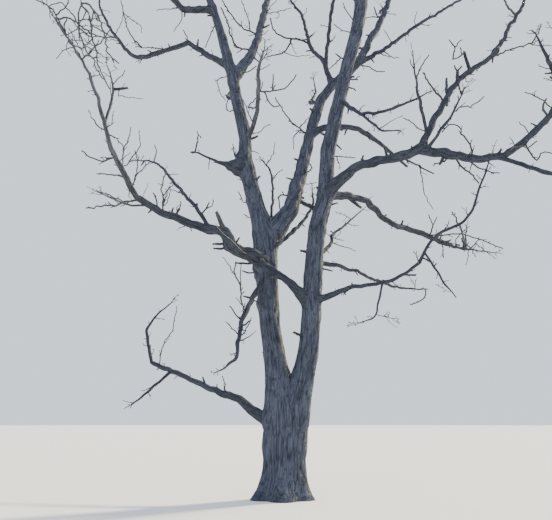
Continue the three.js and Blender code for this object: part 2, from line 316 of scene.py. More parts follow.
@dataclass
class Course:
    """A limb's middle line from its foot to its tip, with its radius at each of its points.

    The first foot_inside of it lies inside its carrier. Each point has its reach along the line, the limb's
    direction and two directions across it, sides and backs, which turn with it.
    """

    name: str
    points: Array
    radii: Array
    foot_inside: float
    carrier: str
    reach: Array = field(init=False)
    tangents: Array = field(init=False)
    sides: Array = field(init=False)
    backs: Array = field(init=False)

    def __post_init__(self) -> None:
        """Works out the distance along the line and a frame that doesn't twist."""
        self.reach = travelled(self.points)
        self.tangents = unit(np.gradient(self.points, self.reach, axis=0))
        side = unit(np.cross(self.tangents[0], (0.3, 1.0, 0.2)))
        sides = []
        for tangent in self.tangents:
            side = side - tangent * (side @ tangent)
            side = side / np.linalg.norm(side)
            sides.append(side)
        self.sides = np.array(sides)
        self.backs = np.cross(self.tangents, self.sides)

    @property
    def long(self) -> float:
        """The limb's length along its middle line."""
        return float(self.reach[-1])

    @property
    def neck(self) -> float:
        """The limb's radius a little way out of the limb that carries it."""
        return self.radius(1.3 * self.foot_inside)

    def radius(self, reach: float) -> float:
        """The limb's radius at one distance along it."""
        return float(np.interp(reach, self.reach, self.radii))

    def sunk(self, places: Array) -> Array:
        """How deep places lie in the limb: 1 on its middle line, 0 at its bark and less outside it."""
        away = np.linalg.norm(places[:, None] - self.points[None], axis=2)
        return 1 - away.min(axis=1) / self.radii[away.argmin(axis=1)]

    def read(self, values: Array, reach: Array) -> Array:
        """Reads one of the line's own arrays between its places.

        Args:
            values: The array, with one number or one row for each place.
            reach: The distances along the limb that are wanted.

        Returns:
            One number or one row for each distance.
        """
        if values.ndim == 1:
            return np.interp(reach, self.reach, values)
        return np.stack([np.interp(reach, self.reach, column) for column in values.T], axis=-1)

    def outward(self, reach: Array, turn: Array) -> Array:
        """The directions away from the middle line at distances along it and turns round it."""
        side, back = self.read(self.sides, reach), self.read(self.backs, reach)
        return unit(side * np.cos(turn)[:, None] + back * np.sin(turn)[:, None])

    def at(self, reach: float, turn: float) -> tuple[Array, Array, Array]:
        """Reads the limb at one distance along it.

        Args:
            reach: The distance.
            turn: A turn round the limb, in radians.

        Returns:
            The place on the middle line, the limb's direction and the direction outwards at the turn.
        """
        there = np.array([reach])
        tangent = unit(self.read(self.tangents, there)[0])
        return self.read(self.points, there)[0], tangent, self.outward(there, np.array([turn]))[0]

    def gap(self, places: Array) -> Array:
        """Measures how far places are from the limb's bark.

        Args:
            places: The places.

        Returns:
            The distances, negative inside the limb, and far where a place is well away from it.
        """
        nearest = np.full(len(places), 9.0)
        low = self.points.min(axis=0) - 1
        high = self.points.max(axis=0) + 1
        close = np.flatnonzero(np.all((places > low) & (places < high), axis=1))
        for point, radius in zip(self.points[::2], self.radii[::2]):
            if not len(close):
                break
            away = np.linalg.norm(places[close] - point, axis=1) - radius
            nearest[close] = np.minimum(nearest[close], away)
        return nearest

    def part(self, middle: Array, span: float) -> "Course":
        """Cuts out the stretch of the limb that is near one place.

        Args:
            middle: The place.
            span: How far from it the stretch runs.

        Returns:
            The stretch, as a course of its own.
        """
        near = np.flatnonzero(np.linalg.norm(self.points - middle, axis=1) < span)
        keep = slice(max(near.min() - 1, 0), near.max() + 3) if len(near) else slice(0, 4)
        return Course(self.name, self.points[keep], self.radii[keep], 0.0, self.carrier)


@dataclass(frozen=True)
class LimbReader:
    """Walks a limb's rings off its node, from the flat end at its tip to its foot.

    A limb's carrier is the one that its line passes nearest to, where a step past or short of it costs
    miss_cost and its girth gains girth_gain. A thin limb has a collar where it leaves its carrier, swollen by
    collar_swell over collar_reach thicknesses, and its foot inside is foot_share as thick as the carrier. A
    limb that meets its carrier within tip_points of its tip grows on end to end with it, end_share as thick,
    from overlap points back. A stem's foot runs stem_foot down into the trunk and thins to stem_thin. Small
    kinks stray by crook radii, up to crook_most, each crook_long long, and grow over crook_fade.
    """

    corner_counts: tuple[int, ...] = (6, 8, 10)
    weld: float = 1e-5
    flat: float = 0.99999
    round: float = 0.03
    spacing: float = 0.03
    miss_cost: float = 0.35
    girth_gain: float = 0.5
    collar_swell: float = 0.3
    collar_reach: float = 0.8
    stem_foot: float = 0.85
    stem_thin: float = 0.45
    foot_share: float = 0.4
    end_share: float = 0.92
    clear: float = 1.6
    crook: float = 0.6
    crook_most: float = 0.021
    crook_long: float = 0.26
    crook_fade: Span = (0.1, 0.5)
    tip_points: int = 4
    overlap: int = 6

    def rings(self, node: Object) -> tuple[Array, Array, Array]:
        """Finds the middles and radii of a limb's rings.

        Args:
            node: The limb's CAD object.

        Returns:
            The middles and the radii from the tip down, and the middle of what is left below them.
        """
        mesh = bmesh.new()
        mesh.from_mesh(node.data)
        bmesh.ops.remove_doubles(mesh, verts=mesh.verts, dist=self.weld)
        level, seen = self.tip_ring(mesh)
        corners = len(level)
        middles, radii = [], []
        while level:
            spots = np.array([vert.co for vert in level])
            middle = spots.mean(axis=0)
            spread = np.linalg.norm(spots - middle, axis=1)
            if len(level) != corners or spread.std() > self.round * spread.mean():
                break
            middles.append(middle)
            radii.append(spread.mean())
            level = {edge.other_vert(vert) for vert in level for edge in vert.link_edges} - seen
            seen |= level
        rest = [vert.co for vert in mesh.verts if vert not in seen or vert in level]
        below = np.array(rest).mean(axis=0)
        mesh.free()
        return np.array(middles), np.array(radii), below

    def patch(self, face: BMFace) -> set[BMFace]:
        """Gathers the faces that lie flat with one face.

        Args:
            face: The face.

        Returns:
            It and the faces that join it without a bend.
        """
        patch, edge_on = {face}, [face]
        while edge_on:
            for edge in edge_on.pop().edges:
                for other in edge.link_faces:
                    if other not in patch and other.normal.dot(face.normal) > self.flat:
                        patch.add(other)
                        edge_on.append(other)
        return patch

    def tip_ring(self, mesh: BMesh) -> tuple[set, set]:
        """Finds a limb's flat tip, the smallest of its flat round ends.

        Args:
            mesh: The limb's mesh, with its doubles merged.

        Returns:
            The corners round the tip's edge, and all the corners of that flat face.
        """
        best = (9.0, set(), set())
        seen = set()
        for face in mesh.faces:
            if face in seen:
                continue
            patch = self.patch(face)
            seen |= patch
            corners = {vert for part in patch for vert in part.verts}
            rim = {vert for vert in corners if any(part not in patch for part in vert.link_faces)}
            if len(rim) not in self.corner_counts:
                continue
            spots = np.array([vert.co for vert in rim])
            spread = np.linalg.norm(spots - spots.mean(axis=0), axis=1)
            if spread.std() < self.round * spread.mean() and spread.mean() < best[0]:
                best = (spread.mean(), rim, corners)
        return best[1], best[2]

    def rooted(self, middles: Array, below: Array, carriers: dict[str, Course]) -> tuple[Array, str]:
        """Finds where a limb's middle line meets that of the limb which carries it.

        Args:
            middles: The middles of its rings, from the tip down.
            below: The middle of what is left below them.
            carriers: The limbs that are thicker than it at its foot.

        Returns:
            The place, and the carrier's name.
        """
        last = middles[-1]
        back = unit(last - middles[-2]) if len(middles) > 1 else unit(below - last)
        step = np.linalg.norm(last - (middles[-2] if len(middles) > 1 else below))
        best = (9.0, last + back * step, "")
        for carrier in carriers.values():
            away = carrier.points - last
            along = away @ back
            off = np.linalg.norm(away - along[:, None] * back, axis=1)
            cost = off + self.miss_cost * np.abs(along - step) - self.girth_gain * carrier.radii
            index = int(cost.argmin())
            if cost[index] < best[0]:
                best = (cost[index], carrier.points[index], carrier.name)
        return best[1], best[2]

    def course(self, name: str, node: Object, carriers: dict[str, Course]) -> Course:
        """Makes the middle line of a limb, carried on into the limb that it grows from.

        Args:
            name: The limb's node name.
            node: Its CAD object.
            carriers: The limbs that may carry it, or none for a main stem.

        Returns:
            The course.
        """
        middles, radii, below = self.rings(node)
        if carriers:
            foot, carrier = self.rooted(middles, below, carriers)
        else:
            foot, carrier = middles[-1] + unit(below - middles[-1]) * self.stem_foot, "trunk"
        knots = np.vstack((foot, middles[::-1]))
        chord = travelled(knots)
        places = np.linspace(0, chord[-1], max(8, round(chord[-1] / self.spacing)))
        points = smooth_line(knots, chord, places)
        thick = np.interp(places, chord, np.concatenate(([radii[-1]], radii[::-1])))
        if not carriers:
            swell = self.stem_thin + (1 - self.stem_thin) * step_up(0, self.stem_foot, places)
            return Course(name, points, thick * swell, 0.0, carrier)
        host = carriers[carrier]
        nearest = int(np.linalg.norm(host.points - foot, axis=1).argmin())
        if nearest <= len(host.points) - self.tip_points:
            return self.branched(name, points, thick, places, host, float(host.radii[nearest]))
        back = slice(-self.overlap, -1)
        points = np.vstack((host.points[back], points))
        thick = np.concatenate((host.radii[back] * self.end_share, thick))
        places = np.concatenate((np.zeros(self.overlap - 1), places))
        return Course(name, self.kinked(points, thick, places, name), thick, 0.0, carrier)

    def branched(
        self, name: str, points: Array, thick: Array, places: Array, host: Course, room: float
    ) -> Course:
        """Fits a limb's foot into the side of its carrier, with a collar where it comes out.

        Args:
            name: The limb's node name.
            points: Its middle line.
            thick: Its radius along it.
            places: How far along it each point is.
            host: Its carrier.
            room: The carrier's radius where the limb meets it.

        Returns:
            The course.
        """
        sunk = host.sunk(points)
        out = int(np.argmax(sunk < 0)) or len(places) - 1
        sunk = np.where((np.arange(len(places)) > out) & (places > self.clear * places[out]), -1.0, sunk)
        inside = float(places[out])
        foot = float(thick[0])
        swell = self.collar_swell * max(0.15, 1 - foot / room)
        outside = np.maximum(0, places - inside)
        thick = thick * (1 + swell * np.exp(-outside / (self.collar_reach * 2 * foot)))
        buried = step_up(-0.15, 0.85, sunk)
        thick = thick + buried * (np.minimum(thick, self.foot_share * room) - thick)
        return Course(name, self.kinked(points, thick, places - inside, name), thick, inside, host.name)

    def kinked(self, points: Array, thick: Array, outside: Array, name: str) -> Array:
        """Gives a limb's middle line the small kinks of old wood, none at its foot or where another grows on.

        Args:
            points: The middle line.
            thick: The limb's radius along it.
            outside: How far outside its carrier each point is.
            name: The limb's node name, which picks its own kinks.

        Returns:
            The line with its kinks.
        """
        low, high = self.crook_fade
        away = np.minimum(self.crook * thick, self.crook_most) * step_up(low, high, outside)
        if thick[-1] > THICK_TIP:
            away = away * step_up(low + 0.05, high, outside[-1] - outside)
        spots = points / self.crook_long
        salt = sum(name.encode())
        stray = np.stack([noise(spots, salt + axis) for axis in range(3)], axis=-1)
        return points + stray * (2 * away)[:, None]


def read_courses(nodes: dict[str, Object], reader: LimbReader) -> dict[str, Course]:
    """Reads every limb but the trunk, thickest foot first, so that each one's carrier is known before it.

    Args:
        nodes: The CAD nodes by name.
        reader: What walks a limb's rings.

    Returns:
        The courses by node name.
    """
    feet = {name: reader.rings(node)[1][-1] for name, node in nodes.items() if name != "trunk"}
    courses: dict[str, Course] = {}
    for name in sorted(feet, key=lambda name: (name not in STEMS, -feet[name])):
        courses[name] = reader.course(name, nodes[name], {} if name in STEMS else courses)
    for one, other in GRAFTS:
        courses[one] = graft_tip(courses[one], courses[other], reader.spacing)
    return courses


def graft_tip(course: Course, host: Course, spacing: float) -> Course:
    """Carries a limb's tip on into another limb that it has grown into.

    Args:
        course: The limb.
        host: The limb that it meets.
        spacing: The distance between the places of a middle line.

    Returns:
        The limb with its middle line ending on the other's.
    """
    meet = host.points[int(np.linalg.norm(host.points - course.points[-1], axis=1).argmin())]
    knots = np.vstack((course.points[-12], course.points[-1], meet))
    chord = travelled(knots)
    more = smooth_line(knots, chord, np.arange(chord[1] + spacing, chord[-1], spacing))
    points = np.vstack((course.points, more))
    thick = np.concatenate((course.radii, np.full(len(more), course.radii[-1])))
    return Course(course.name, points, thick, course.foot_inside, course.carrier)


@dataclass(frozen=True)
class BarkGrain:
    """The ridges and furrows of the bark, which grow finer as a limb grows thinner.

    A ridge and its furrow are base wide, and share wider for each metre of radius. It is long widths long.
    """

    base: float = 0.011
    share: float = 0.115
    long: float = 9.0

    def width(self, radii: Array | float) -> Array | float:
        """The width of one ridge and its furrow."""
        return self.base + self.share * radii

    def places(self, course: Course, reach: Array, turn: Array) -> Array:
        """Finds where corners are in the bark's own pattern.

        Args:
            course: The limb.
            reach: How far along it each corner is.
            turn: How far round it, in radians.

        Returns:
            Their places, counted in ridges.
        """
        radii = course.read(course.radii, reach)
        around = radii / self.width(radii)
        slope = 1 / (self.width(course.radii) * self.long)
        total = np.concatenate(([0.0], np.cumsum(np.diff(course.reach) * (slope[1:] + slope[:-1]) / 2)))
        climbed = np.interp(reach, course.reach, total)
        return np.stack((around * np.cos(turn), around * np.sin(turn), climbed), axis=-1)


@dataclass(frozen=True)
class BarkForm:
    """How the bark stands out and lies back, as far as its faces can show it.

    Its ridges are coarser than those of the finish on thin limbs. Their furrows are depth_share of the radius
    deep, up to depth_most. The limb swells and pinches by flute_share of its radius, and knobs stand out by
    knob_share of it, up to knob_most, where the noise is over knob_rare.
    """

    ridges: BarkGrain = BarkGrain(0.03, 0.17, 13.0)
    sway: float = 0.5
    furrow_half: float = 0.2
    split: float = 0.16
    flake: float = 0.07
    depth_share: float = 0.085
    depth_most: float = 0.017
    mean_relief: float = 0.62
    flute_share: float = 0.06
    knob_share: float = 0.5
    knob_most: float = 0.05
    knob_rare: float = 0.12

    def relief(self, places: Array, salt: int) -> Array:
        """Works out how high the bark stands: long ridges, finer splits in them and flakes on top.

        Args:
            places: Places in the bark's own pattern.
            salt: Picks the limb's own noise.

        Returns:
            For each place, from 0 in the furrows to 1 on the ridges.
        """
        sway = noise(places * (0.4, 0.4, 0.9), salt + 1)
        bent = places + sway[:, None] * (self.sway, self.sway, 0.0)
        ridge = step_up(0.0, self.furrow_half, self.from_line(bent, salt + 2)) ** 0.8
        split = step_up(0.0, self.furrow_half, self.from_line(bent * (1.7, 1.7, 1.5), salt + 3))
        flake = noise(places * (2.2, 2.2, 9.0), salt + 4)
        return np.clip(ridge * (1 - self.split + self.split * split) + self.flake * flake, 0, 1)

    def from_line(self, places: Array, salt: int) -> Array:
        """Measures how far places are, across the limb, from the nearest line where the noise is nought.

        Args:
            places: Places in the bark's own pattern.
            salt: Picks the noise.

        Returns:
            The distances, about right where they are small.
        """
        here = noise(places, salt)
        step = 0.05
        one, two = (noise(places + aside, salt) - here for aside in ((step, 0.0, 0.0), (0.0, step, 0.0)))
        return np.abs(here) / (np.hypot(one, two) / step + 0.3)

    def stand(self, places: Array, radii: Array, relief: Array, salt: int) -> Array:
        """Works out how far the bark stands from the limb's middle line.

        Args:
            places: Places in the bark's own pattern.
            radii: The limb's radius at each.
            relief: The bark's relief at each.
            salt: Picks the limb's own noise.

        Returns:
            The distances.
        """
        flutes = noise(places * (0.5, 0.5, 0.6), salt + 5)
        knobs = np.maximum(0, noise(places * (0.6, 0.6, 1.9), salt + 6) - self.knob_rare) - self.knob_rare / 2
        knobs = np.minimum(self.knob_share * radii, self.knob_most) * knobs
        depth = np.minimum(self.depth_share * radii, self.depth_most)
        return radii * (1 + self.flute_share * flutes) + knobs + depth * (relief - self.mean_relief)


@dataclass(frozen=True)
class Burl:
    """A lump on a limb's bark: the photo's pixel at its middle, how wide it is and how far it stands out."""

    limb: str
    pixel: Pixel
    size: float
    height: float

    def centre(self, course: Course, camera: PhotoCamera) -> Array:
        """Finds the place of its middle, on the side of the limb that the photo shows it on.

        Args:
            course: The limb.
            camera: The photo's camera.

        Returns:
            The place.
        """
        index = int(camera.misses(course.points, self.pixel).argmin())
        middle, radius = course.points[index], float(course.radii[index])
        away = camera.place_at(self.pixel, float(camera.depth(middle))) - middle
        far = float(np.linalg.norm(away))
        return middle if far < 0.35 * radius else middle + away * (radius / far)


@dataclass(frozen=True)
class Band:
    """A stretch of a limb whose bark has one fineness, and how many faces go round it and along it."""

    start: float
    end: float
    around: int
    along: int


@dataclass
class ForkFillet:
    """Rounds the bark over where a limb meets others, each given with how wide the rounding is at it."""

    others: list[tuple["Course | TrunkForm", float]]

    def push(self, spots: Array, outward: Array) -> Array:
        """Moves corners that are close to another limb's bark outwards, most where the two meet.

        Args:
            spots: The corners' places.
            outward: Which way each moves.

        Returns:
            Their new places.
        """
        moved = spots.copy()
        for other, reach in self.others:
            gap = np.abs(other.gap(spots))
            moved += outward * (np.maximum(reach - gap, 0) ** 2 / (4 * reach))[:, None]
        return moved


@dataclass
class BarkSkin:
    """The bark of one limb, wrapped round its middle line, with its burls' middles, sizes and heights.

    A face is face wide on the thickest limbs and face_share radii on thinner ones, and face_long widths long.
    A band ends where the limb has thinned to thin_out of it. The salt picks the limb's own noise.
    """

    course: Course
    salt: int
    fillet: ForkFillet
    burls: tuple[tuple[Array, float, float], ...] = ()
    grain: BarkGrain = BarkGrain()
    form: BarkForm = BarkForm()
    face: float = 0.0135
    face_share: float = 0.25
    face_long: float = 2.0
    thin_out: float = 0.55
    tip_round: Span = (0.004, 0.7)

    def bands(self) -> list[Band]:
        """Splits the limb into bands, each coarser round than the one before.

        Returns:
            The bands, from the foot to the tip.
        """
        course = self.course
        starts = [0]
        for index, radius in enumerate(course.radii):
            if radius < self.thin_out * course.radii[starts[-1]] and radius > THICK_TIP:
                starts.append(index)
        ends = starts[1:] + [len(course.reach) - 1]
        bands = []
        for start, end in zip(starts, ends):
            radius = course.radii[start]
            width = min(self.face, self.face_share * radius)
            around = max(10, round(FULL_TURN * radius / width))
            stretch = course.reach[end] - course.reach[start]
            along = max(3, round(stretch / (self.face_long * width)))
            bands.append(Band(course.reach[start], course.reach[end], around, along))
        return bands

    def lay(self, reach: Array, turn: Array, cap: Array) -> tuple[Array, ...]:
        """Lays corners on the limb's surface.

        Args:
            reach: How far along the limb each corner is.
            turn: How far round it, in radians.
            cap: How far each corner stands off, from 0 at a pole to 1.

        Returns:
            The corners' places, their relief and their places in the bark's pattern.
        """
        course = self.course
        radii = course.read(course.radii, reach)
        outward = course.outward(reach, turn)
        places = self.form.ridges.places(course, reach, turn)
        relief = self.form.relief(places, self.salt)
        stand = self.form.stand(places, radii, relief, self.salt)
        spots = course.read(course.points, reach) + outward * (stand * cap)[:, None]
        for middle, size, height in self.burls:
            away = np.linalg.norm(spots - middle, axis=1) / size
            spots = spots + outward * (height * cap * np.exp(-(away**2)))[:, None]
        return self.fillet.push(spots, outward * cap[:, None]), relief, self.grain.places(course, reach, turn)

    def build(self, name: str) -> Object:
        """Wraps the bark round the limb as one closed mesh.

        Args:
            name: The piece's name.

        Returns:
            The piece.
        """
        whole = bmesh.new()
        bands = self.bands()
        for band in bands:
            take(whole, self.wrap(band, band is bands[0], band is bands[-1]))
        bmesh.ops.remove_doubles(whole, verts=whole.verts, dist=SEAM)
        join_bands(whole)
        return finished(whole, name)

    def wrap(self, band: Band, first: bool, last: bool) -> Mesh:
        """Wraps one band from a flat sheet, with a pole at the limb's foot or tip.

        Args:
            band: The band.
            first: Whether it starts at the limb's foot.
            last: Whether it ends at the limb's tip.

        Returns:
            The band's mesh.
        """
        sheet, across, row = flat_sheet(band.around, band.along)
        edge = (band.end - band.start) / band.along
        reach = band.start + row * edge
        reach = np.where((row == band.along) & (not last), reach - edge * 0.5, reach)
        cap = np.ones(len(row))
        if first:
            cap = np.where(row == 0, 0.0, cap)
        if last:
            cap = np.where(row == band.along, 0.0, cap)
            short, narrow = self.tip_round
            reach = np.where(row == band.along - 1, band.end - short, reach)
            cap = np.where(row == band.along - 1, narrow, cap)
        spots, relief, pattern = self.lay(reach, across * FULL_TURN / band.around, cap)
        set_corners(sheet, spots, relief, pattern, reach)
        return sheet


def flat_sheet(around: int, along: int) -> tuple[Mesh, Array, Array]:
    """Makes a flat sheet of faces, which a tube is rolled from.

    Args:
        around: How many faces it has across.
        along: How many it has along.

    Returns:
        The sheet, and for each corner its number across and its number along.
    """
    sheet = bmesh.new()
    bmesh.ops.create_grid(sheet, x_segments=around, y_segments=along, size=0.5)
    mesh = bpy.data.meshes.new("sheet")
    sheet.to_mesh(mesh)
    sheet.free()
    flat = np.zeros(len(mesh.vertices) * 3)
    mesh.vertices.foreach_get("co", flat)
    flat = flat.reshape(-1, 3) + 0.5
    return mesh, np.rint(flat[:, 0] * around).astype(int), np.rint(flat[:, 1] * along).astype(int)


def set_corners(mesh: Mesh, spots: Array, relief: Array, pattern: Array, reach: Array) -> None:
    """Moves a mesh's corners and stores what its finish reads at each of them.

    Args:
        mesh: The mesh.
        spots: The corners' places.
        relief: How high the bark stands there.
        pattern: Their places in the bark's pattern.
        reach: How far along the limb they are.
    """
    mesh.vertices.foreach_set("co", spots.ravel())
    mesh.attributes.new("relief", "FLOAT", "POINT").data.foreach_set("value", relief)
    mesh.attributes.new("pattern", "FLOAT_VECTOR", "POINT").data.foreach_set("vector", pattern.ravel())
    mesh.attributes.new("reach", "FLOAT", "POINT").data.foreach_set("value", reach)


def take(whole: BMesh, mesh: Mesh) -> None:
    """Adds a mesh to a whole and removes it."""
    whole.from_mesh(mesh)
    bpy.data.meshes.remove(mesh)


def join_bands(whole: BMesh) -> None:
    """Bridges the open edges between a limb's bands, each pair by its distance along the limb.

    Args:
        whole: The limb's bark, with its seams and poles closed.
    """
    layer = whole.verts.layers.float["reach"]
    rims: dict[float, list[BMEdge]] = {}
    for edge in whole.edges:
        if edge.is_boundary:
            rims.setdefault(round(edge.verts[0][layer], 4), []).append(edge)
    places = sorted(rims)
    for lower, upper in zip(places[::2], places[1::2]):
        bmesh.ops.bridge_loops(whole, edges=rims[lower] + rims[upper])


def finished(whole: BMesh, name: str, smooth: bool = True) -> Object:
    """Turns the faces outwards, shades them and adds the mesh to the scene as a piece.

    Args:
        whole: The mesh so far, which is freed.
        name: The piece's name.
        smooth: Whether its shading runs over its edges.

    Returns:
        The piece.
    """
    bmesh.ops.recalc_face_normals(whole, faces=whole.faces)
    for face in whole.faces:
        face.smooth = smooth
    mesh = bpy.data.meshes.new(name)
    whole.to_mesh(mesh)
    whole.free()
    piece = bpy.data.objects.new(name, mesh)
    bpy.context.scene.collection.objects.link(piece)
    return piece


@dataclass
class TrunkForm:
    """The trunk's shape: closed rings from its flat cut at the ground to its rounded top.

    Each ring is held as whole waves of its two coordinates, so that it can be read at any turn. The dome is
    how far the top stands above the last ring, and side is the share of the faces below it. The girth is the
    radius that sets how wide the ridges are.
    """

    heights: Array
    waves: Array
    dome: float = 1.15
    girth: float = 0.26
    around: int = 176
    along: int = 104
    side: float = 0.7
    lumps: float = 0.05
    grain: BarkGrain = BarkGrain()
    form: BarkForm = BarkForm()

    @classmethod
    def from_node(cls, node: Object) -> "TrunkForm":
        """Reads the rings off the trunk's node from the ground up, without the last, which the dome replaces.

        Args:
            node: The trunk's CAD object.

        Returns:
            The trunk's shape.
        """
        mesh = bmesh.new()
        mesh.from_mesh(node.data)
        bmesh.ops.remove_doubles(mesh, verts=mesh.verts, dist=1e-5)
        levels: dict[float, list[Array]] = {}
        for vert in mesh.verts:
            levels.setdefault(round(vert.co.z, 3), []).append(np.array(vert.co))
        mesh.free()
        heights, waves = sorted(levels)[:-1], []
        for height in heights:
            ring = np.array(levels[height])
            centre = (ring.min(axis=0) + ring.max(axis=0)) / 2
            half = (ring.max(axis=0) - ring.min(axis=0)) / 2
            away = ring - centre
            rim = np.hypot(away[:, 0], away[:, 1]) > 0.2 * half[0]
            away, ring = away[rim], ring[rim]
            turn = np.arctan2(away[:, 1] / half[1], away[:, 0] / half[0])
            waves.append(np.fft.rfft(ring[np.argsort(turn)][:, :2], axis=0) / len(ring))
        return cls(np.array(heights), np.array(waves))

    def ring_at(self, height: Array, turn: Array) -> Array:
        """Reads places on the trunk's side.

        Args:
            height: Their heights.
            turn: How far round the trunk each is, in radians.

        Returns:
            Their two level coordinates.
        """
        flat = np.concatenate((self.waves.real, self.waves.imag), axis=1).reshape(len(self.heights), -1)
        read = smooth_line(flat, self.heights, np.clip(height, 0, self.heights[-1]))
        count = self.waves.shape[1]
        read = read.reshape(len(height), 2, count, 2)
        spots = np.zeros((len(height), 2))
        for wave in range(count):
            weight = 1 if wave in (0, count - 1) else 2
            cosine = np.cos(wave * turn)[:, None]
            sine = np.sin(wave * turn)[:, None]
            spots += weight * (read[:, 0, wave] * cosine - read[:, 1, wave] * sine)
        return spots

    def gap(self, places: Array) -> Array:
        """Measures about how far places are from the trunk's bark.

        Args:
            places: The places.

        Returns:
            The distances, negative inside the trunk.
        """
        turns = np.linspace(0, FULL_TURN, 24, endpoint=False)
        rings = np.array([self.ring_at(np.full(24, height), turns) for height in self.heights])
        top = float(self.heights[-1])
        height = np.clip(places[:, 2], 0, top)
        half, middle = (
            np.stack([np.interp(height, self.heights, sizes[:, axis]) for axis in (0, 1)], axis=-1)
            for sizes in (np.ptp(rings, axis=1) / 2, rings.mean(axis=1))
        )
        above = np.maximum(places[:, 2] - top, 0)
        away = (places[:, :2] - middle) / half
        share = np.sqrt((away**2).sum(axis=1) + (above / self.dome) ** 2)
        return (share - 1) * half.min(axis=1)

    def build(self, name: str, fillet: ForkFillet) -> Object:
        """Wraps the trunk's bark round its rings, from the flat cut at the ground to its rounded top.

        Args:
            name: The piece's name.
            fillet: Rounds the bark where the stems come out.

        Returns:
            The piece.
        """
        sheet, across, row = flat_sheet(self.around, self.along)
        turn = across * FULL_TURN / self.around
        row = row / self.along
        height = np.minimum(row / self.side, 1.0) * float(self.heights[-1])
        tilt = np.clip((row - self.side) / (1 - self.side), 0, 1) * math.pi / 2
        level = self.ring_at(height, turn)
        middle = np.interp(height, self.heights, self.waves[:, 0, 0].real)
        centre = np.column_stack((middle, np.zeros(len(turn))))
        away = level - centre
        size = np.hypot(away[:, 0], away[:, 1])
        outward = np.column_stack((away / size[:, None], np.zeros(len(turn))))
        raised = height + self.dome * np.sin(tilt)
        ridges = self.form.ridges
        width = ridges.width(self.girth)
        places = np.column_stack((away / width, raised / (width * ridges.long)))
        relief = self.form.relief(places, 7)
        stand = size * (1 + self.lumps * noise(places * (0.4, 0.4, 0.6), 8))
        stand = stand + self.form.depth_most * (relief - self.form.mean_relief)
        spots = np.column_stack((centre, raised)) + outward * (stand * np.cos(tilt))[:, None]
        spots = fillet.push(spots, outward * np.cos(tilt)[:, None])
        spots[:, 2] = np.where(row == 0, 0.0, spots[:, 2])
        set_corners(sheet, spots, relief, places * width / self.grain.width(self.girth), height)
        whole = bmesh.new()
        take(whole, sheet)
        bmesh.ops.remove_doubles(whole, verts=whole.verts, dist=SEAM)
        bmesh.ops.contextual_create(whole, geom=[edge for edge in whole.edges if edge.is_boundary])
        return finished(whole, name)


@dataclass
class Shoot:
    """One twig: a bent line with its radius at each bend."""

    points: Array
    radii: Array


class TwigKind(Enum):
    """The kinds of twig, which differ in the colour of their bark."""

    DARK = "twigs_dark"
    BROWN = "twigs_brown"
    GREY = "twigs_grey"
    PALE = "twigs_pale"
    BARE = "peeled_strip"


@dataclass(frozen=True)
class Habit:
    """How a twig of one sort grows. Angles are in degrees.

    At each bend it turns by crook to one side and then the other, strays by wander and turns up by lift. A
    spur stands off it by spread, with spur_share of the length that is left and spur_thin of the thickness.
    """

    stride: float = 0.075
    crook: float = 15.0
    wander: float = 9.0
    lift: float = 0.035
    spurs: float = 0.55
    spread: float = 52.0
    spur_share: float = 0.42
    spur_thin: float = 0.68
    shortest: float = 0.05
    taper: float = 0.42


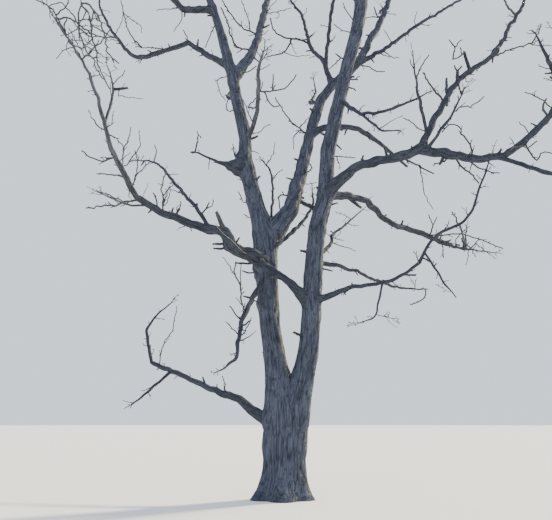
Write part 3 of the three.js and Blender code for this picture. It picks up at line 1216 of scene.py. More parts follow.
@dataclass
class TwigGrower:
    """Grows twigs by a seeded rule and keeps them inside a box, from its low corner to its high one.

    Spurs grow from spurs as often as orders says. The jitter is how far a twig strays from a given path, in
    strides. Chance varies each bend, each stride, and the spread and the length of each spur, between the two
    shares that are given for it.
    """

    rng: np.random.Generator
    low: Array
    high: Array
    thinnest: float = 0.0055
    orders: int = 3
    jitter: float = 0.13
    fade: float = 0.85
    twist: float = 0.35
    bends: Span = (0.4, 1.6)
    strides: Span = (0.7, 1.3)
    spreads: Span = (0.65, 1.3)
    lengths: Span = (0.35, 1.3)
    shoots: dict[TwigKind, list[Shoot]] = field(default_factory=lambda: {kind: [] for kind in TwigKind})

    def turned(self, heading: Array, degrees: float, about: Array) -> Array:
        """A heading turned about an axis at right angles to it."""
        angle = degrees * DEGREE
        return unit(heading * math.cos(angle) + np.cross(about, heading) * math.sin(angle))

    def across(self, heading: Array) -> Array:
        """A random direction at right angles to a heading."""
        loose = self.rng.normal(size=3)
        return unit(loose - heading * (loose @ heading))

    def grow(
        self,
        foot: Array,
        heading: Array,
        length: float,
        radius: float,
        habit: Habit,
        kind: TwigKind,
        order: int = 0,
    ) -> None:
        """Grows one twig and the spurs on it.

        Args:
            foot: Where it starts, inside what carries it.
            heading: The direction that it sets out in.
            length: Its length.
            radius: Its radius at its foot.
            habit: How it grows.
            kind: The colour of its bark.
            order: 0 for a twig on a limb, 1 for a spur on it, and so on.
        """
        count = max(2, round(length / habit.stride))
        stride = length / count
        axis = self.across(heading)
        side = 1.0 if self.rng.random() < 0.5 else -1.0
        spots = [foot]
        for _ in range(count):
            side = -side
            heading = self.turned(heading, side * habit.crook * self.rng.uniform(*self.bends), axis)
            heading = self.turned(heading, self.rng.normal() * habit.wander, self.across(heading))
            heading = unit(heading + UP * habit.lift)
            axis = unit(axis - heading * (axis @ heading))
            spot = spots[-1] + heading * stride * self.rng.uniform(*self.strides)
            if np.any(spot < self.low) or np.any(spot > self.high):
                break
            spots.append(spot)
        if len(spots) > 1:
            self.keep(np.array(spots), radius, habit, kind, order)

    def keep(self, spots: Array, radius: float, habit: Habit, kind: TwigKind, order: int = 0) -> None:
        """Keeps a twig's line with its taper, and lets spurs grow from its bends.

        Args:
            spots: The places of its bends.
            radius: Its radius at its foot.
            habit: How it grows.
            kind: The colour of its bark.
            order: 0 for a twig on a limb, 1 for a spur on it, and so on.
        """
        share = np.linspace(0, 1, len(spots))
        radii = np.maximum(radius * (1 - (1 - habit.taper) * share**self.fade), self.thinnest)
        self.shoots[kind].append(Shoot(spots, radii))
        if order >= self.orders:
            return
        left = np.linalg.norm(np.diff(spots, axis=0), axis=1)[::-1].cumsum()[::-1]
        for index in range(1, len(spots) - 1):
            if self.rng.random() > habit.spurs:
                continue
            before = unit(spots[index] - spots[index - 1])
            after = unit(spots[index + 1] - spots[index])
            outside = before - after + self.across(after) * self.twist
            outside = unit(outside - after * (outside @ after))
            angle = habit.spread * self.rng.uniform(*self.spreads) * DEGREE
            heading = unit(after * math.cos(angle) + outside * math.sin(angle))
            length = max(habit.shortest, habit.spur_share * left[index] * self.rng.uniform(*self.lengths))
            self.grow(spots[index], heading, length, radii[index] * habit.spur_thin, habit, kind, order + 1)

    def follow(self, path: Array, radius: float, habit: Habit, kind: TwigKind) -> Array:
        """Lays a twig along a given path, with small kinks, and lets spurs grow from it.

        Args:
            path: The places that it runs through, from its foot.
            radius: Its radius at its foot.
            habit: How it grows.
            kind: The colour of its bark.

        Returns:
            The places along the finished twig.
        """
        chord = travelled(path)
        places = np.linspace(0, chord[-1], max(2, round(chord[-1] / habit.stride)) + 1)
        if len(path) > 2:
            spots = smooth_line(path, chord, places)
        else:
            spots = path[0] + np.outer(places / chord[-1], path[-1] - path[0])
        stray = self.rng.normal(size=spots.shape) * self.jitter * habit.stride
        stray[0] = 0
        self.keep(spots + stray, radius, habit, kind)
        return spots


@dataclass
class TwigMesh:
    """Joins twigs of one kind into one mesh of thin tubes, each rolled up from rows of a flat sheet.

    Tubes under the radii in thin have fewer sides. A tip stands out past its last ring by blunt radii.
    """

    kind: TwigKind
    thin: tuple[tuple[int, float], ...] = ((4, 0.006), (5, 0.011))
    coarse: int = 6
    blunt: float = 0.8

    def sides(self, shoot: Shoot) -> int:
        """How many sides a twig's tube has, fewer for thinner twigs."""
        return next((sides for sides, radius in self.thin if shoot.radii[0] < radius), self.coarse)

    def rows(self, shoot: Shoot, sides: int) -> Array:
        """Lays the rows of one tube, which is closed in one place at its foot and in one at its tip.

        Args:
            shoot: The twig.
            sides: How many sides the tube has.

        Returns:
            The places of the corners by row and by side, where the last corner of a row lies on its first.
        """
        points, radii = shoot.points, shoot.radii
        tangents = unit(np.gradient(points, axis=0))
        one = unit(np.cross(tangents, (0.31, 0.52, -0.8)))[:, None]
        two = np.cross(tangents[:, None], one)
        turn = np.linspace(0, FULL_TURN, sides + 1)[:, None]
        rings = points[:, None] + radii[:, None, None] * (one * np.cos(turn) + two * np.sin(turn))
        foot = np.tile(points[0] - tangents[0] * radii[0], (1, sides + 1, 1))
        tip = np.tile(points[-1] + tangents[-1] * radii[-1] * self.blunt, (1, sides + 1, 1))
        return np.concatenate((foot, rings, tip))

    def build(self, shoots: list[Shoot]) -> Object:
        """Joins the twigs' tubes into one piece.

        Args:
            shoots: The twigs.

        Returns:
            The piece.
        """
        whole = bmesh.new()
        for sides in sorted({self.sides(shoot) for shoot in shoots}):
            alike = [shoot for shoot in shoots if self.sides(shoot) == sides]
            spots = np.concatenate([self.rows(shoot, sides) for shoot in alike])
            sheet, across, row = flat_sheet(sides, len(spots) - 1)
            sheet.vertices.foreach_set("co", spots[row, across].ravel())
            take(whole, sheet)
        bmesh.ops.remove_doubles(whole, verts=whole.verts, dist=SEAM)
        between = [edge for edge in whole.edges if edge.is_wire]
        bmesh.ops.delete(whole, geom=between, context="EDGES")
        return finished(whole, self.kind.value)


@dataclass(frozen=True)
class FurrowedBark:
    """Old ash-grey bark of a hardwood, split into long interlacing ridges with thin dark furrows.

    It gives a rough, dry surface with no gloss, grey on the ridges and darker in every furrow. The furrows
    lie 10 to 50 mm apart by the limb's thickness, which the pattern attribute counts in.

    Attributes:
        furrow: Colour deep in the furrows, flank on the ridges' sides and ridge on top of them.
        foot_shade: How bright the limb's foot is beside the rest of it.
        patch: How wide a patch of lighter or darker bark is.
        clumps: How many clumps of lichen there are to a metre, each about 77 mm wide.
        painted_rim_side: The way that the painted sunlit rim faces, towards the key light.
        painted_rim_gain: How much more lichen colour is laid on that side, partly real lichen and partly a
            painted sunlit rim, and ridge_gain on a ridge.
        furrows: How many drawn ridges lie on each of the pattern's, and how wide their furrows are.
        fine: How deep the second, finer furrows are, and even brings both back to a height of 1.
        drawn_share: How much of the height they make up, and faces_share the faces' own relief.
    """

    name: str
    furrow: str
    flank: str
    ridge: str
    lichen: str
    lichen_share: float
    foot_shade: float = 1.0
    patch: float = 0.35
    clumps: float = 13.0
    painted_rim_side: tuple[float, float, float] = (0.9, 0.15, 0.3)
    painted_rim_gain: float = 0.35
    ridge_gain: float = 0.36
    bump: float = 0.007
    sway: tuple[float, float, float] = (0.8, 0.8, 0.4)
    furrows: tuple[Span, ...] = ((1.0, 0.14), (2.3, 0.16))
    fine: float = 0.45
    even: float = 0.69
    drawn_share: float = 0.56
    faces_share: float = 0.45

    def drawn(self, tree: NodeTree, pattern: NodeSocket) -> Node:
        """Draws the ridges that are finer than the faces show.

        Args:
            tree: The material's node tree.
            pattern: The place in the bark's pattern.

        Returns:
            What gives 0 in their furrows and 1 on top of them.
        """
        values = {"Scale": 0.7, "Detail": 2.0, "Roughness": 0.5}
        sway = add_node(tree, "TexNoise", values=values, links={"Vector": pattern})
        swayed = {0: sway.outputs["Color"], 2: pattern}
        bent = add_node(tree, "VectorMath", {"operation": "MULTIPLY_ADD"}, {1: self.sway}, swayed)
        heights = []
        for count, half in self.furrows:
            feature = {"feature": "DISTANCE_TO_EDGE"}
            plates = add_node(tree, "TexVoronoi", feature, {"Scale": count}, {"Vector": bent})
            ease = {"interpolation_type": "SMOOTHSTEP"}
            heights.append(add_node(tree, "MapRange", ease, {"From Max": half}, {"Value": plates}))
        level = {0: heights[1], 2: heights[0]}
        both = add_node(tree, "Math", {"operation": "MULTIPLY_ADD"}, {1: self.fine}, level)
        return add_node(tree, "Math", {"operation": "MULTIPLY"}, {1: self.even}, {0: both})

    def height(self, tree: NodeTree, drawn: Node, grit: Node) -> Node:
        """Adds up the faces' own relief, the drawn ridges and the grit.

        Args:
            tree: The material's node tree.
            drawn: The drawn ridges.
            grit: The grit.

        Returns:
            What gives the height, from 0 to 1.
        """
        relief = add_node(tree, "Attribute", {"attribute_name": "relief"})
        scaled = {"operation": "MULTIPLY_ADD"}
        coarse = add_node(tree, "Math", scaled, {1: self.drawn_share, 2: -0.02}, {0: drawn})
        ridges = add_node(tree, "Math", scaled, {1: self.faces_share}, {0: relief.outputs["Fac"], 2: coarse})
        gritty = add_node(tree, "Math", scaled, {1: 0.5, 2: -0.25}, {0: grit})
        return add_node(tree, "Math", {"operation": "ADD", "use_clamp": True}, links={0: ridges, 1: gritty})

    def toned(self, tree: NodeTree, height: Node, place: NodeSocket) -> NodeSocket:
        """Colours the bark by its height, with lighter and darker patches, and darker at a limb's foot.

        Args:
            tree: The material's node tree.
            height: The bark's height.
            place: The place on the tree.

        Returns:
            The colour.
        """
        ramp = add_node(tree, "ValToRGB", links={"Fac": height})
        stops = ramp.color_ramp.elements
        stops[0].position, stops[0].color = 0.02, linear(self.furrow)
        stops[1].position, stops[1].color = 0.95, linear(self.ridge)
        stops.new(0.42).color = linear(self.flank)
        values = {"Scale": 1 / self.patch, "Detail": 3.0, "Roughness": 0.55}
        patches = add_node(tree, "TexNoise", values=values, links={"Vector": place})
        values = {"From Min": 0.3, "From Max": 0.7, "To Min": 0.8, "To Max": 1.16}
        shade = add_node(tree, "MapRange", values=values, links={"Value": patches})
        reach = add_node(tree, "Attribute", {"attribute_name": "reach"})
        values = {"From Min": 0.1, "From Max": 1.3, "To Min": self.foot_shade}
        ease = {"interpolation_type": "SMOOTHSTEP"}
        foot = add_node(tree, "MapRange", ease, values, {"Value": reach.outputs["Fac"]})
        both = add_node(tree, "Math", {"operation": "MULTIPLY"}, links={0: shade, 1: foot})
        blend = {"data_type": "RGBA", "blend_type": "MULTIPLY"}
        return add_node(tree, "Mix", blend, {0: 1.0}, {6: ramp, 7: both}).outputs[2]

    def add_lichen_and_painted_rim(self, tree: NodeTree, colour: NodeSocket, height: Node, place: NodeSocket) -> NodeSocket:
        """Lays lichen over the bark's ridges, and more on the side facing the key light as a painted sunlit
        rim.

        Args:
            tree: The material's node tree.
            colour: The bark's colour.
            height: The bark's height.
            place: The place on the tree.

        Returns:
            The colour with the lichen and the painted sunlit rim on it.
        """
        values = {"Scale": self.clumps, "Detail": 4.0, "Roughness": 0.6}
        clumps = add_node(tree, "TexNoise", values=values, links={"Vector": place})
        normal = add_node(tree, "NewGeometry").outputs["Normal"]
        # Painted highlight: the lichen colour is laid thicker where the bark faces the key light, a painted
        # sunlit rim over the real lichen.
        side = add_node(tree, "VectorMath", {"operation": "DOT_PRODUCT"}, {1: self.painted_rim_side}, {0: normal})
        values = {"From Min": 0.35, "From Max": 0.95, "To Max": self.painted_rim_gain}
        painted_rim = add_node(tree, "MapRange", values=values, links={"Value": side.outputs["Value"]})
        lichen_and_painted_rim = add_node(tree, "Math", {"operation": "ADD"}, links={0: painted_rim, 1: clumps})
        lifted = {0: height, 2: lichen_and_painted_rim}
        ridged = add_node(tree, "Math", {"operation": "MULTIPLY_ADD"}, {1: self.ridge_gain}, lifted)
        more = 0.2 * self.lichen_share
        values = {"From Min": 0.99 - more, "From Max": 1.15 - more}
        grown = add_node(tree, "MapRange", values=values, links={"Value": ridged})
        dense = 0.75 * min(1.0, 0.4 + self.lichen_share)
        cover = add_node(tree, "Math", {"operation": "MULTIPLY"}, {1: dense}, {0: grown})
        blend = {"data_type": "RGBA"}
        return add_node(tree, "Mix", blend, {7: linear(self.lichen)}, {0: cover, 6: colour}).outputs[2]

    def material(self) -> Material:
        """Makes the material from the relief and pattern that each corner of the bark holds.

        Returns:
            The material.
        """
        material = empty_material(self.name)
        tree = material.node_tree
        pattern = add_node(tree, "Attribute", {"attribute_name": "pattern"}).outputs["Vector"]
        place = add_node(tree, "TexCoord").outputs["Object"]
        grains = add_node(tree, "Mapping", values={"Scale": (3.2, 3.2, 9.0)}, links={"Vector": pattern})
        values = {"Scale": 1.0, "Detail": 5.0, "Roughness": 0.6}
        grit = add_node(tree, "TexNoise", values=values, links={"Vector": grains})
        drawn = self.drawn(tree, pattern)
        height = self.height(tree, drawn, grit)
        colour = self.add_lichen_and_painted_rim(tree, self.toned(tree, height, place), height, place)
        rough = add_node(tree, "Math", {"operation": "MULTIPLY_ADD"}, {1: 0.5}, {0: grit, 2: drawn})
        values = {"Strength": 0.8, "Distance": self.bump}
        bumps = add_node(tree, "Bump", values=values, links={"Height": rough})
        dull = {"Roughness": 0.93, "Specular IOR Level": 0.22}
        shader = add_node(tree, "BsdfPrincipled", values=dull, links={"Base Color": colour, "Normal": bumps})
        add_node(tree, "OutputMaterial", links={"Surface": shader})
        return material


@dataclass(frozen=True)
class PlainBark:
    """Thin bark of twigs, smooth but dull, in one plain colour that differs from kind to kind.

    It gives a soft, even tone with no gloss, with mottles to a metre along each twig, about 70 mm wide.
    """

    name: str
    colour: str
    mottles: float = 14.0

    def material(self) -> Material:
        """Makes the material, with its colour a little uneven along the twigs.

        Returns:
            The material.
        """
        material = empty_material(self.name)
        tree = material.node_tree
        place = add_node(tree, "TexCoord").outputs["Object"]
        values = {"Scale": self.mottles, "Detail": 3.0, "Roughness": 0.6}
        mottle = add_node(tree, "TexNoise", values=values, links={"Vector": place})
        values = {"From Min": 0.3, "From Max": 0.7, "To Min": 0.7, "To Max": 1.3}
        shade = add_node(tree, "MapRange", values=values, links={"Value": mottle})
        blend = {"data_type": "RGBA", "blend_type": "MULTIPLY"}
        toned = add_node(tree, "Mix", blend, {0: 1.0, 6: linear(self.colour)}, {7: shade}).outputs[2]
        dull = {"Roughness": 0.88, "Specular IOR Level": 0.25}
        shader = add_node(tree, "BsdfPrincipled", values=dull, links={"Base Color": toned})
        add_node(tree, "OutputMaterial", links={"Surface": shader})
        return material


@dataclass(frozen=True)
class StudioFloor:
    """A matt pale floor, painted smooth, which gives soft shadows and no reflections."""

    name: str = "studio_floor_paint"
    colour: str = "dfe0e0"

    def material(self) -> Material:
        """Makes the material.

        Returns:
            The material.
        """
        material = empty_material(self.name)
        matt = {"Base Color": linear(self.colour), "Roughness": 0.9}
        shader = add_node(material.node_tree, "BsdfPrincipled", values=matt)
        add_node(material.node_tree, "OutputMaterial", links={"Surface": shader})
        return material


@dataclass(frozen=True)
class Lamp:
    """One distant lamp that shines towards the tree and looks soft degrees wide.

    It stands at a turn from +X towards +Y and at a height, both in degrees.
    """

    name: str
    strength: float
    turn: float
    height: float
    soft: float
    colour: str

    def add(self) -> None:
        """Adds it to the scene."""
        light = bpy.data.lights.new(self.name, "SUN")
        light.energy = self.strength
        light.angle = self.soft * DEGREE
        light.color = linear(self.colour)[:3]
        lamp = bpy.data.objects.new(self.name, light)
        turn, height = self.turn * DEGREE, self.height * DEGREE
        level = math.cos(height)
        from_there = Vector((level * math.cos(turn), level * math.sin(turn), math.sin(height)))
        lamp.rotation_euler = from_there.to_track_quat("Z", "Y").to_euler()
        bpy.context.scene.collection.objects.link(lamp)


@dataclass(frozen=True)
class Studio:
    """The floor and lights: a pale room, with the main light high at the right behind the tree.

    The floor is so large that its edge is far off in every view. The weak light comes from the front left.
    """

    floor_size: float = 400.0
    key: Lamp = Lamp("key", 8.5, 33.0, 38.0, 6.0, "ffedcb")
    fill: Lamp = Lamp("fill", 0.3, 235.0, 30.0, 30.0, "dce8ff")
    room: float = 1.4
    room_colour: str = "e4edf8"

    def build(self) -> None:
        """Adds the floor, the pale surroundings and the lights."""
        base = bmesh.new()
        bmesh.ops.create_circle(base, segments=96, radius=self.floor_size, cap_ends=True)
        floor = finished(base, "floor")
        floor.data.materials.append(StudioFloor().material())
        floor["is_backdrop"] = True
        world = bpy.data.worlds.new("studio")
        world.use_nodes = True
        back = world.node_tree.nodes["Background"]
        back.inputs["Color"].default_value = linear(self.room_colour)
        back.inputs["Strength"].default_value = self.room
        bpy.context.scene.world = world
        self.key.add()
        self.fill.add()


# A twig or stub that the photo shows: its thickness in millimetres, and then how far across and how far down
# each pixel is that it runs through
Row = tuple[float, ...]

# The twigs that the photo shows, by the limb that carries them, each after the one that it grows from
PHOTO_SPRAYS: dict[str, tuple[Row, ...]] = {
    "left_bough_rise": (
        (52, 139, 203, 125, 202, 114, 205, 103, 206, 86, 208), (34, 127, 202, 116, 198, 104, 193, 96, 190),
        (40, 124, 178, 109, 174, 96, 174), (44, 115, 157, 104, 161, 87, 155, 82, 150),
        (36, 135, 186, 136, 175, 138, 161), (32, 138, 176, 142, 169, 150, 162),
        (34, 111, 133, 116, 138, 118, 140, 121, 144, 123.5, 148),
        (34, 123.5, 148, 123.5, 156, 123.5, 160, 123, 166),
        (30, 123.5, 148, 127, 143, 129, 137, 130.5, 128), (22, 124, 157, 127, 155, 130, 153),
        (20, 125, 151, 127, 147),
        (30, 124, 167, 127, 165, 130, 160, 134, 155, 138, 150, 140, 144, 139.5, 131),
        (38, 113, 157, 110, 158, 108, 158, 105, 161), (24, 108, 158, 106, 157, 100, 157.5),
        (22, 105, 161, 102, 158, 100, 157), (26, 119, 168, 117, 166, 114, 163.5),
        (24, 109, 127, 112, 124, 114, 121.5), (22, 110, 123, 112, 116, 114, 110),
        (36, 106, 131, 101, 128, 95, 122, 90, 114, 89, 110), (28, 138, 160, 136.5, 156, 135, 151),
        (22, 128, 187, 129, 194, 131, 199, 133, 201.5), (20, 143, 199, 145, 193, 146.5, 188, 148, 184),
        (46, 84.5, 58, 79, 54, 73, 46, 69, 41, 65, 32, 60, 24, 57, 17, 52, 9, 46, 4, 37, 1),
        (36, 68, 39, 63.5, 33, 61, 26, 57, 19, 52, 15),
        (44, 57, 17, 61, 20, 66, 18, 71, 19, 76, 22, 80, 25, 85, 30, 91, 33, 98, 36, 107, 37.5, 117, 38),
        (40, 79, 24, 78, 16, 80, 8, 82, 0),
        (42, 79, 24, 79, 32, 81, 37, 84, 44, 86, 51, 89, 55, 94, 60, 95, 65, 98, 72, 102, 78, 105, 80),
        (44, 81, 4, 84, 8, 89, 15, 91, 21, 92, 28, 92, 37, 95, 45, 96.5, 52, 97, 60, 99, 67, 101, 72, 104,
         78, 108, 85, 111, 90),
        (44, 82, 2, 87, 3, 92, 8, 97, 15, 101, 22, 103, 31, 105, 36, 106, 44, 108, 53, 112, 57.5, 116, 61,
         119.5, 64), (30, 112.5, 58, 114, 65, 117, 69),
        (36, 92, 10, 92.5, 17, 91, 23, 96, 27, 103, 32, 112, 36, 117, 38),
        (38, 84.5, 58, 88, 54, 91, 50, 97, 45, 101, 41, 104, 38, 109, 30, 111, 28),
        (28, 79, 20, 86, 19.5, 97, 18.5), (34, 76, 22, 73, 14, 67, 8, 62, 3, 54, 3, 49, 6),
        (36, 60, 14, 65, 8, 69, 0), (28, 65, 15, 65, 21, 64, 26),
        (30, 84, 57, 78, 45, 74, 38, 71, 32, 69, 29), (28, 68, 41, 74, 40, 82, 41.5),
        (30, 69, 42, 76, 46, 81, 48, 87, 47, 91, 49, 97, 51, 103, 56, 109, 60),
        (28, 72, 48, 67, 49, 62, 53, 56.5, 58.5), (24, 67, 42, 66.5, 49, 70.5, 56), (30, 94, 78, 99, 74),
        (32, 80, 27, 86, 34, 92, 37, 99, 36), (30, 85, 31, 89, 36, 88, 41), (30, 92, 40, 87, 43, 84, 39),
        (28, 84, 44, 90, 43, 95, 46, 99, 40), (28, 80, 34, 88, 32, 93, 29), (24, 97, 61, 104, 63),
        (26, 47, 4, 50, 8, 50, 14, 51, 19), (26, 66, 33, 65, 24, 67, 17),
    ),
    "left_bough": (
        (44, 160, 206, 157, 200, 154, 193), (42, 165, 209, 163, 197, 162, 182, 166, 172),
        (26, 163, 196, 168, 190, 173, 185), (36, 178, 213, 180, 207, 181, 201),
        (34, 187, 222, 190, 227, 192, 231), (24, 161, 184.5, 158, 183),
        (32, 165.5, 208, 165, 200, 167, 193, 169, 188, 173.5, 185),
        (28, 165.5, 208, 167, 202, 169, 197, 170, 190), (24, 165, 202, 163.5, 196, 166, 191),
        (24, 177, 212, 177, 208, 179, 205),
    ),
    "left_bough_fork": (
        (26, 119, 88, 118.5, 96), (30, 115.5, 84, 119, 78, 122, 76, 124.5, 70),
        (24, 119, 98, 128, 97.5, 143, 99.5), (22, 120, 86, 125, 83),
    ),
    "left_rising_bough": (
        (40, 156, 158, 156, 151, 155, 145), (34, 208, 213, 211, 206, 214, 199),
        (27, 186, 193, 176, 191, 165, 190), (26, 141, 159, 144, 155), (24, 139, 159.5, 137, 155, 135, 151),
        (22, 167.5, 169, 167.5, 165), (28, 171, 173, 175, 174, 179, 174.5),
    ),
    "low_left_bough": ((34, 226, 388, 224, 382, 222, 376), (34, 161, 364, 162, 348, 172, 330, 177, 306)),
    "far_left_bough": ((46, 189, 41, 186, 35, 183, 30),),
    "far_left_reach": (
        (42, 165, 46, 155, 48, 144, 48, 135, 47), (46, 143, 49, 132, 37, 124, 16, 121, 0),
        (34, 120, 31, 122, 20, 124, 11), (32, 124, 14, 133, 21, 142, 28, 141, 33),
    ),
    "top_left_bough": ((34, 181, 6, 169, 9, 157, 10), (34, 180, 9, 182, 18, 173, 32)),
    "right_bough_upper": (
        (50, 483, 65, 491, 58, 500, 54, 512, 49, 525, 45, 534, 40, 541, 24),
        (28, 530, 46, 541, 46, 552, 46), (56, 441, 100, 436, 92, 430, 84, 423, 73),
        (34, 419, 128, 411, 122, 404, 117), (46, 464, 53, 460, 56, 456, 58, 453, 59),
        (42, 453, 59, 454, 52, 455, 47), (38, 455, 47, 452, 44, 449.5, 39.5),
        (38, 455, 47, 458, 43.5, 462, 39.5), (36, 463, 55, 461, 51, 459.5, 47.5),
        (52, 457.5, 73, 456, 70, 454.5, 65.5), (48, 457.5, 72, 460, 69, 461.5, 65.5),
        (30, 469, 75, 471, 75.5, 473, 75), (26, 466, 77, 467, 82, 471, 81.5, 473, 79.5, 470, 78),
        (78, 513, 15, 507, 6, 504, 0),
    ),
    "fork_shoot": (
        (36, 453, 112, 463, 106, 469, 107, 477, 103, 484, 97),
        (54, 460.5, 94, 459.5, 90, 458, 84, 457.5, 82), (48, 460.5, 94, 463, 91, 465, 87.5),
    ),
    "right_bough_dip": (
        (40, 473, 153, 470, 144, 464, 136, 456, 125, 450, 125, 442, 133),
        (40, 505, 150, 514, 147, 522, 147, 530, 146, 537, 141), (40, 451, 158, 444, 161, 433, 166),
        (50, 454, 159, 463, 168, 474, 177, 479, 183), (42, 464, 159, 477, 167, 488, 171, 500, 173),
    ),
    "right_upright": ((36, 414, 79, 421, 68, 429, 55), (28, 413, 69, 411, 64, 410, 60)),
    "right_bough_arc": (
        (40, 538, 159, 540, 155, 544, 152, 552, 153), (34, 547, 106, 541, 99, 536, 96, 531, 94, 525, 93),
        (24, 536, 95, 535, 91), (58, 541, 112, 543, 105, 546, 99), (28, 524, 127, 521, 124, 518, 122),
    ),
    "right_bough": (
        (50, 402, 157, 411, 162, 419, 166, 426, 170, 434, 174),
        (28, 420, 167, 423, 183, 425, 196, 433, 209),
    ),
    "back_right_bough": (
        (46, 433, 235, 445, 235, 458, 234, 479, 239, 492, 244, 503, 249),
        (34, 468, 248, 468, 256, 466, 265), (54, 466, 249, 466, 243, 465.5, 236, 466.5, 231, 466.5, 226),
        (30, 466.5, 227, 464.5, 224), (32, 467, 228, 469, 226), (26, 467, 226, 468.5, 221),
        (44, 442.5, 242, 443, 249, 443, 255, 444.5, 258), (30, 443, 255, 441, 256.5),
        (50, 432.5, 234, 432.5, 225, 431, 219, 428.5, 214.5), (40, 432.5, 225, 435, 221, 437.5, 217),
        (36, 454, 243, 456, 239, 459, 235, 462, 232), (40, 471, 247, 475, 243, 479.5, 239.5),
        (32, 475, 243.5, 480, 247, 485, 251, 492, 255.5, 496, 259), (36, 472, 252, 474, 254, 476, 257),
    ),
    "low_right_bough": ((32, 404, 275, 410, 275, 416, 275),),
    "low_right_rise": (
        (44, 458, 222, 460, 228, 462, 233, 464, 239, 466, 244, 470, 248),
        (38, 456.5, 220, 454.5, 215.5, 452, 212), (24, 454.5, 215.5, 455.2, 213),
        (26, 463, 232, 464, 231, 465, 230), (40, 431, 262, 433, 263, 435, 268, 437, 270),
        (24, 431, 262.5, 434, 261.5),
    ),
    "drooping_bough": (
        (40, 240, 321, 234, 313, 230, 305), (34, 238, 335, 232, 328, 226, 321),
        (34, 243, 340, 245, 331, 252, 317), (44, 243, 312, 241, 298, 240, 285, 234, 273, 236, 262),
        (28, 236, 277, 229, 265, 223, 257), (28, 240, 285, 241, 273, 241, 262),
    ),
    "canker_bough": (
        (26, 209, 161, 209, 165, 209, 169),
        (44, 195, 152.5, 196.5, 146, 198, 138, 199, 134.5, 201, 136, 201.5, 138.5),
        (28, 199, 135, 197.5, 131),
    ),
    "left_stem": (
        (44, 236, 158, 234, 151, 232, 144), (40, 233, 110, 228, 111, 226, 106, 229, 97),
        (34, 227, 77, 218, 80, 220, 92, 226, 101), (40, 216, 24, 212, 31, 209, 38, 205, 48),
        (28, 237, 155, 236, 150, 234, 147), (32, 254, 151.5, 256, 152, 259.5, 153.5),
        (38, 245, 203, 241, 198, 238, 191), (28, 242, 201, 239.5, 200),
        (32, 252, 221, 247, 216.5, 244, 214), (48, 243, 73, 250, 71, 257, 66),
    ),
    "pale_bough": (
        (52, 261, 92, 272, 91, 285, 88, 296, 75), (50, 272, 91, 273, 83, 273, 74),
        (46, 263, 95, 270, 103, 275, 107, 280, 106), (46, 248, 107, 252, 103, 256, 98),
        (32, 254.5, 135, 259, 132, 266, 126, 270, 125), (38, 258, 66, 262, 60, 266, 55, 268, 48),
        (30, 262, 60, 258, 53, 256, 46), (28, 266, 55, 272, 50), (26, 264, 57, 269, 61),
        (32, 258, 63, 254, 56), (30, 259, 70, 264, 68, 270, 64),
    ),
    "left_inner_leader": (
        (58, 247, 49, 235, 45, 232, 39, 228, 24, 221, 7), (50, 251, 32, 243, 28, 235, 20, 228, 10, 223, 0),
        (36, 252, 27, 245, 9, 241, 0), (34, 267, 14, 277, 12, 291, 8), (34, 268, 10, 272, 5, 277, 0),
        (28, 276, 12, 279, 14, 278, 18, 275, 18), (30, 260, 37, 265, 33, 268, 30),
        (24, 262, 38, 266, 40, 271, 38),
    ),
    "middle_stem": (
        (52, 287, 194, 278, 197, 279, 203, 280, 209), (52, 304, 133, 289, 119, 279, 104, 275, 98),
        (36, 300, 129, 304, 123, 309, 117), (34, 300, 133, 294, 136, 294, 149),
        (40, 380, 15, 372, 17, 365, 18), (34, 385, 13, 391, 14, 396, 15),
        (42, 311, 160, 312, 167, 307, 174, 303, 183), (28, 303, 183, 310, 184, 317, 182),
    ),
    "crotch_shoot": ((34, 267, 164, 273, 154, 275, 142), (34, 271, 179, 277, 174, 283, 169)),
    "upright_fork_left": (
        (62, 313, 44, 302, 40, 293, 39, 284, 37, 276, 33, 270, 18),
        (56, 293, 39, 289, 45, 283, 53, 276, 55, 266, 57), (34, 304, 40, 311, 36, 316, 31),
        (30, 290, 39, 293, 48, 296, 55), (30, 284, 54, 295, 56, 310, 55),
    ),
    "right_stem": (
        (60, 347, 79, 353, 79, 358, 80), (50, 345, 87, 351, 88, 356, 90),
        (44, 352, 63, 359, 65, 367, 66, 373, 70, 385, 72), (36, 351, 24, 347, 12, 343, 3),
        (36, 349, 31, 343, 31, 334, 24), (36, 340, 58, 334, 65, 329, 69),
        (36, 334, 156, 345, 157, 355, 158), (32, 336, 160, 340, 169), (34, 356, 79, 360, 76),
    ),
    "upper_right_bough": (
        (32, 390, 40, 387, 35, 384, 30), (32, 413, 24, 415, 17, 417, 11),
        (36, 380, 49, 384, 52, 394, 58, 399, 58),
    ),
    "rear_bough": ((26, 330, 238, 325, 231), (28, 337, 246, 345, 247, 355, 251), (24, 346, 224, 359, 226)),
    "spreading_bough": ((50, 420, 288, 426, 290, 425, 296, 418, 302, 410, 304),),
}

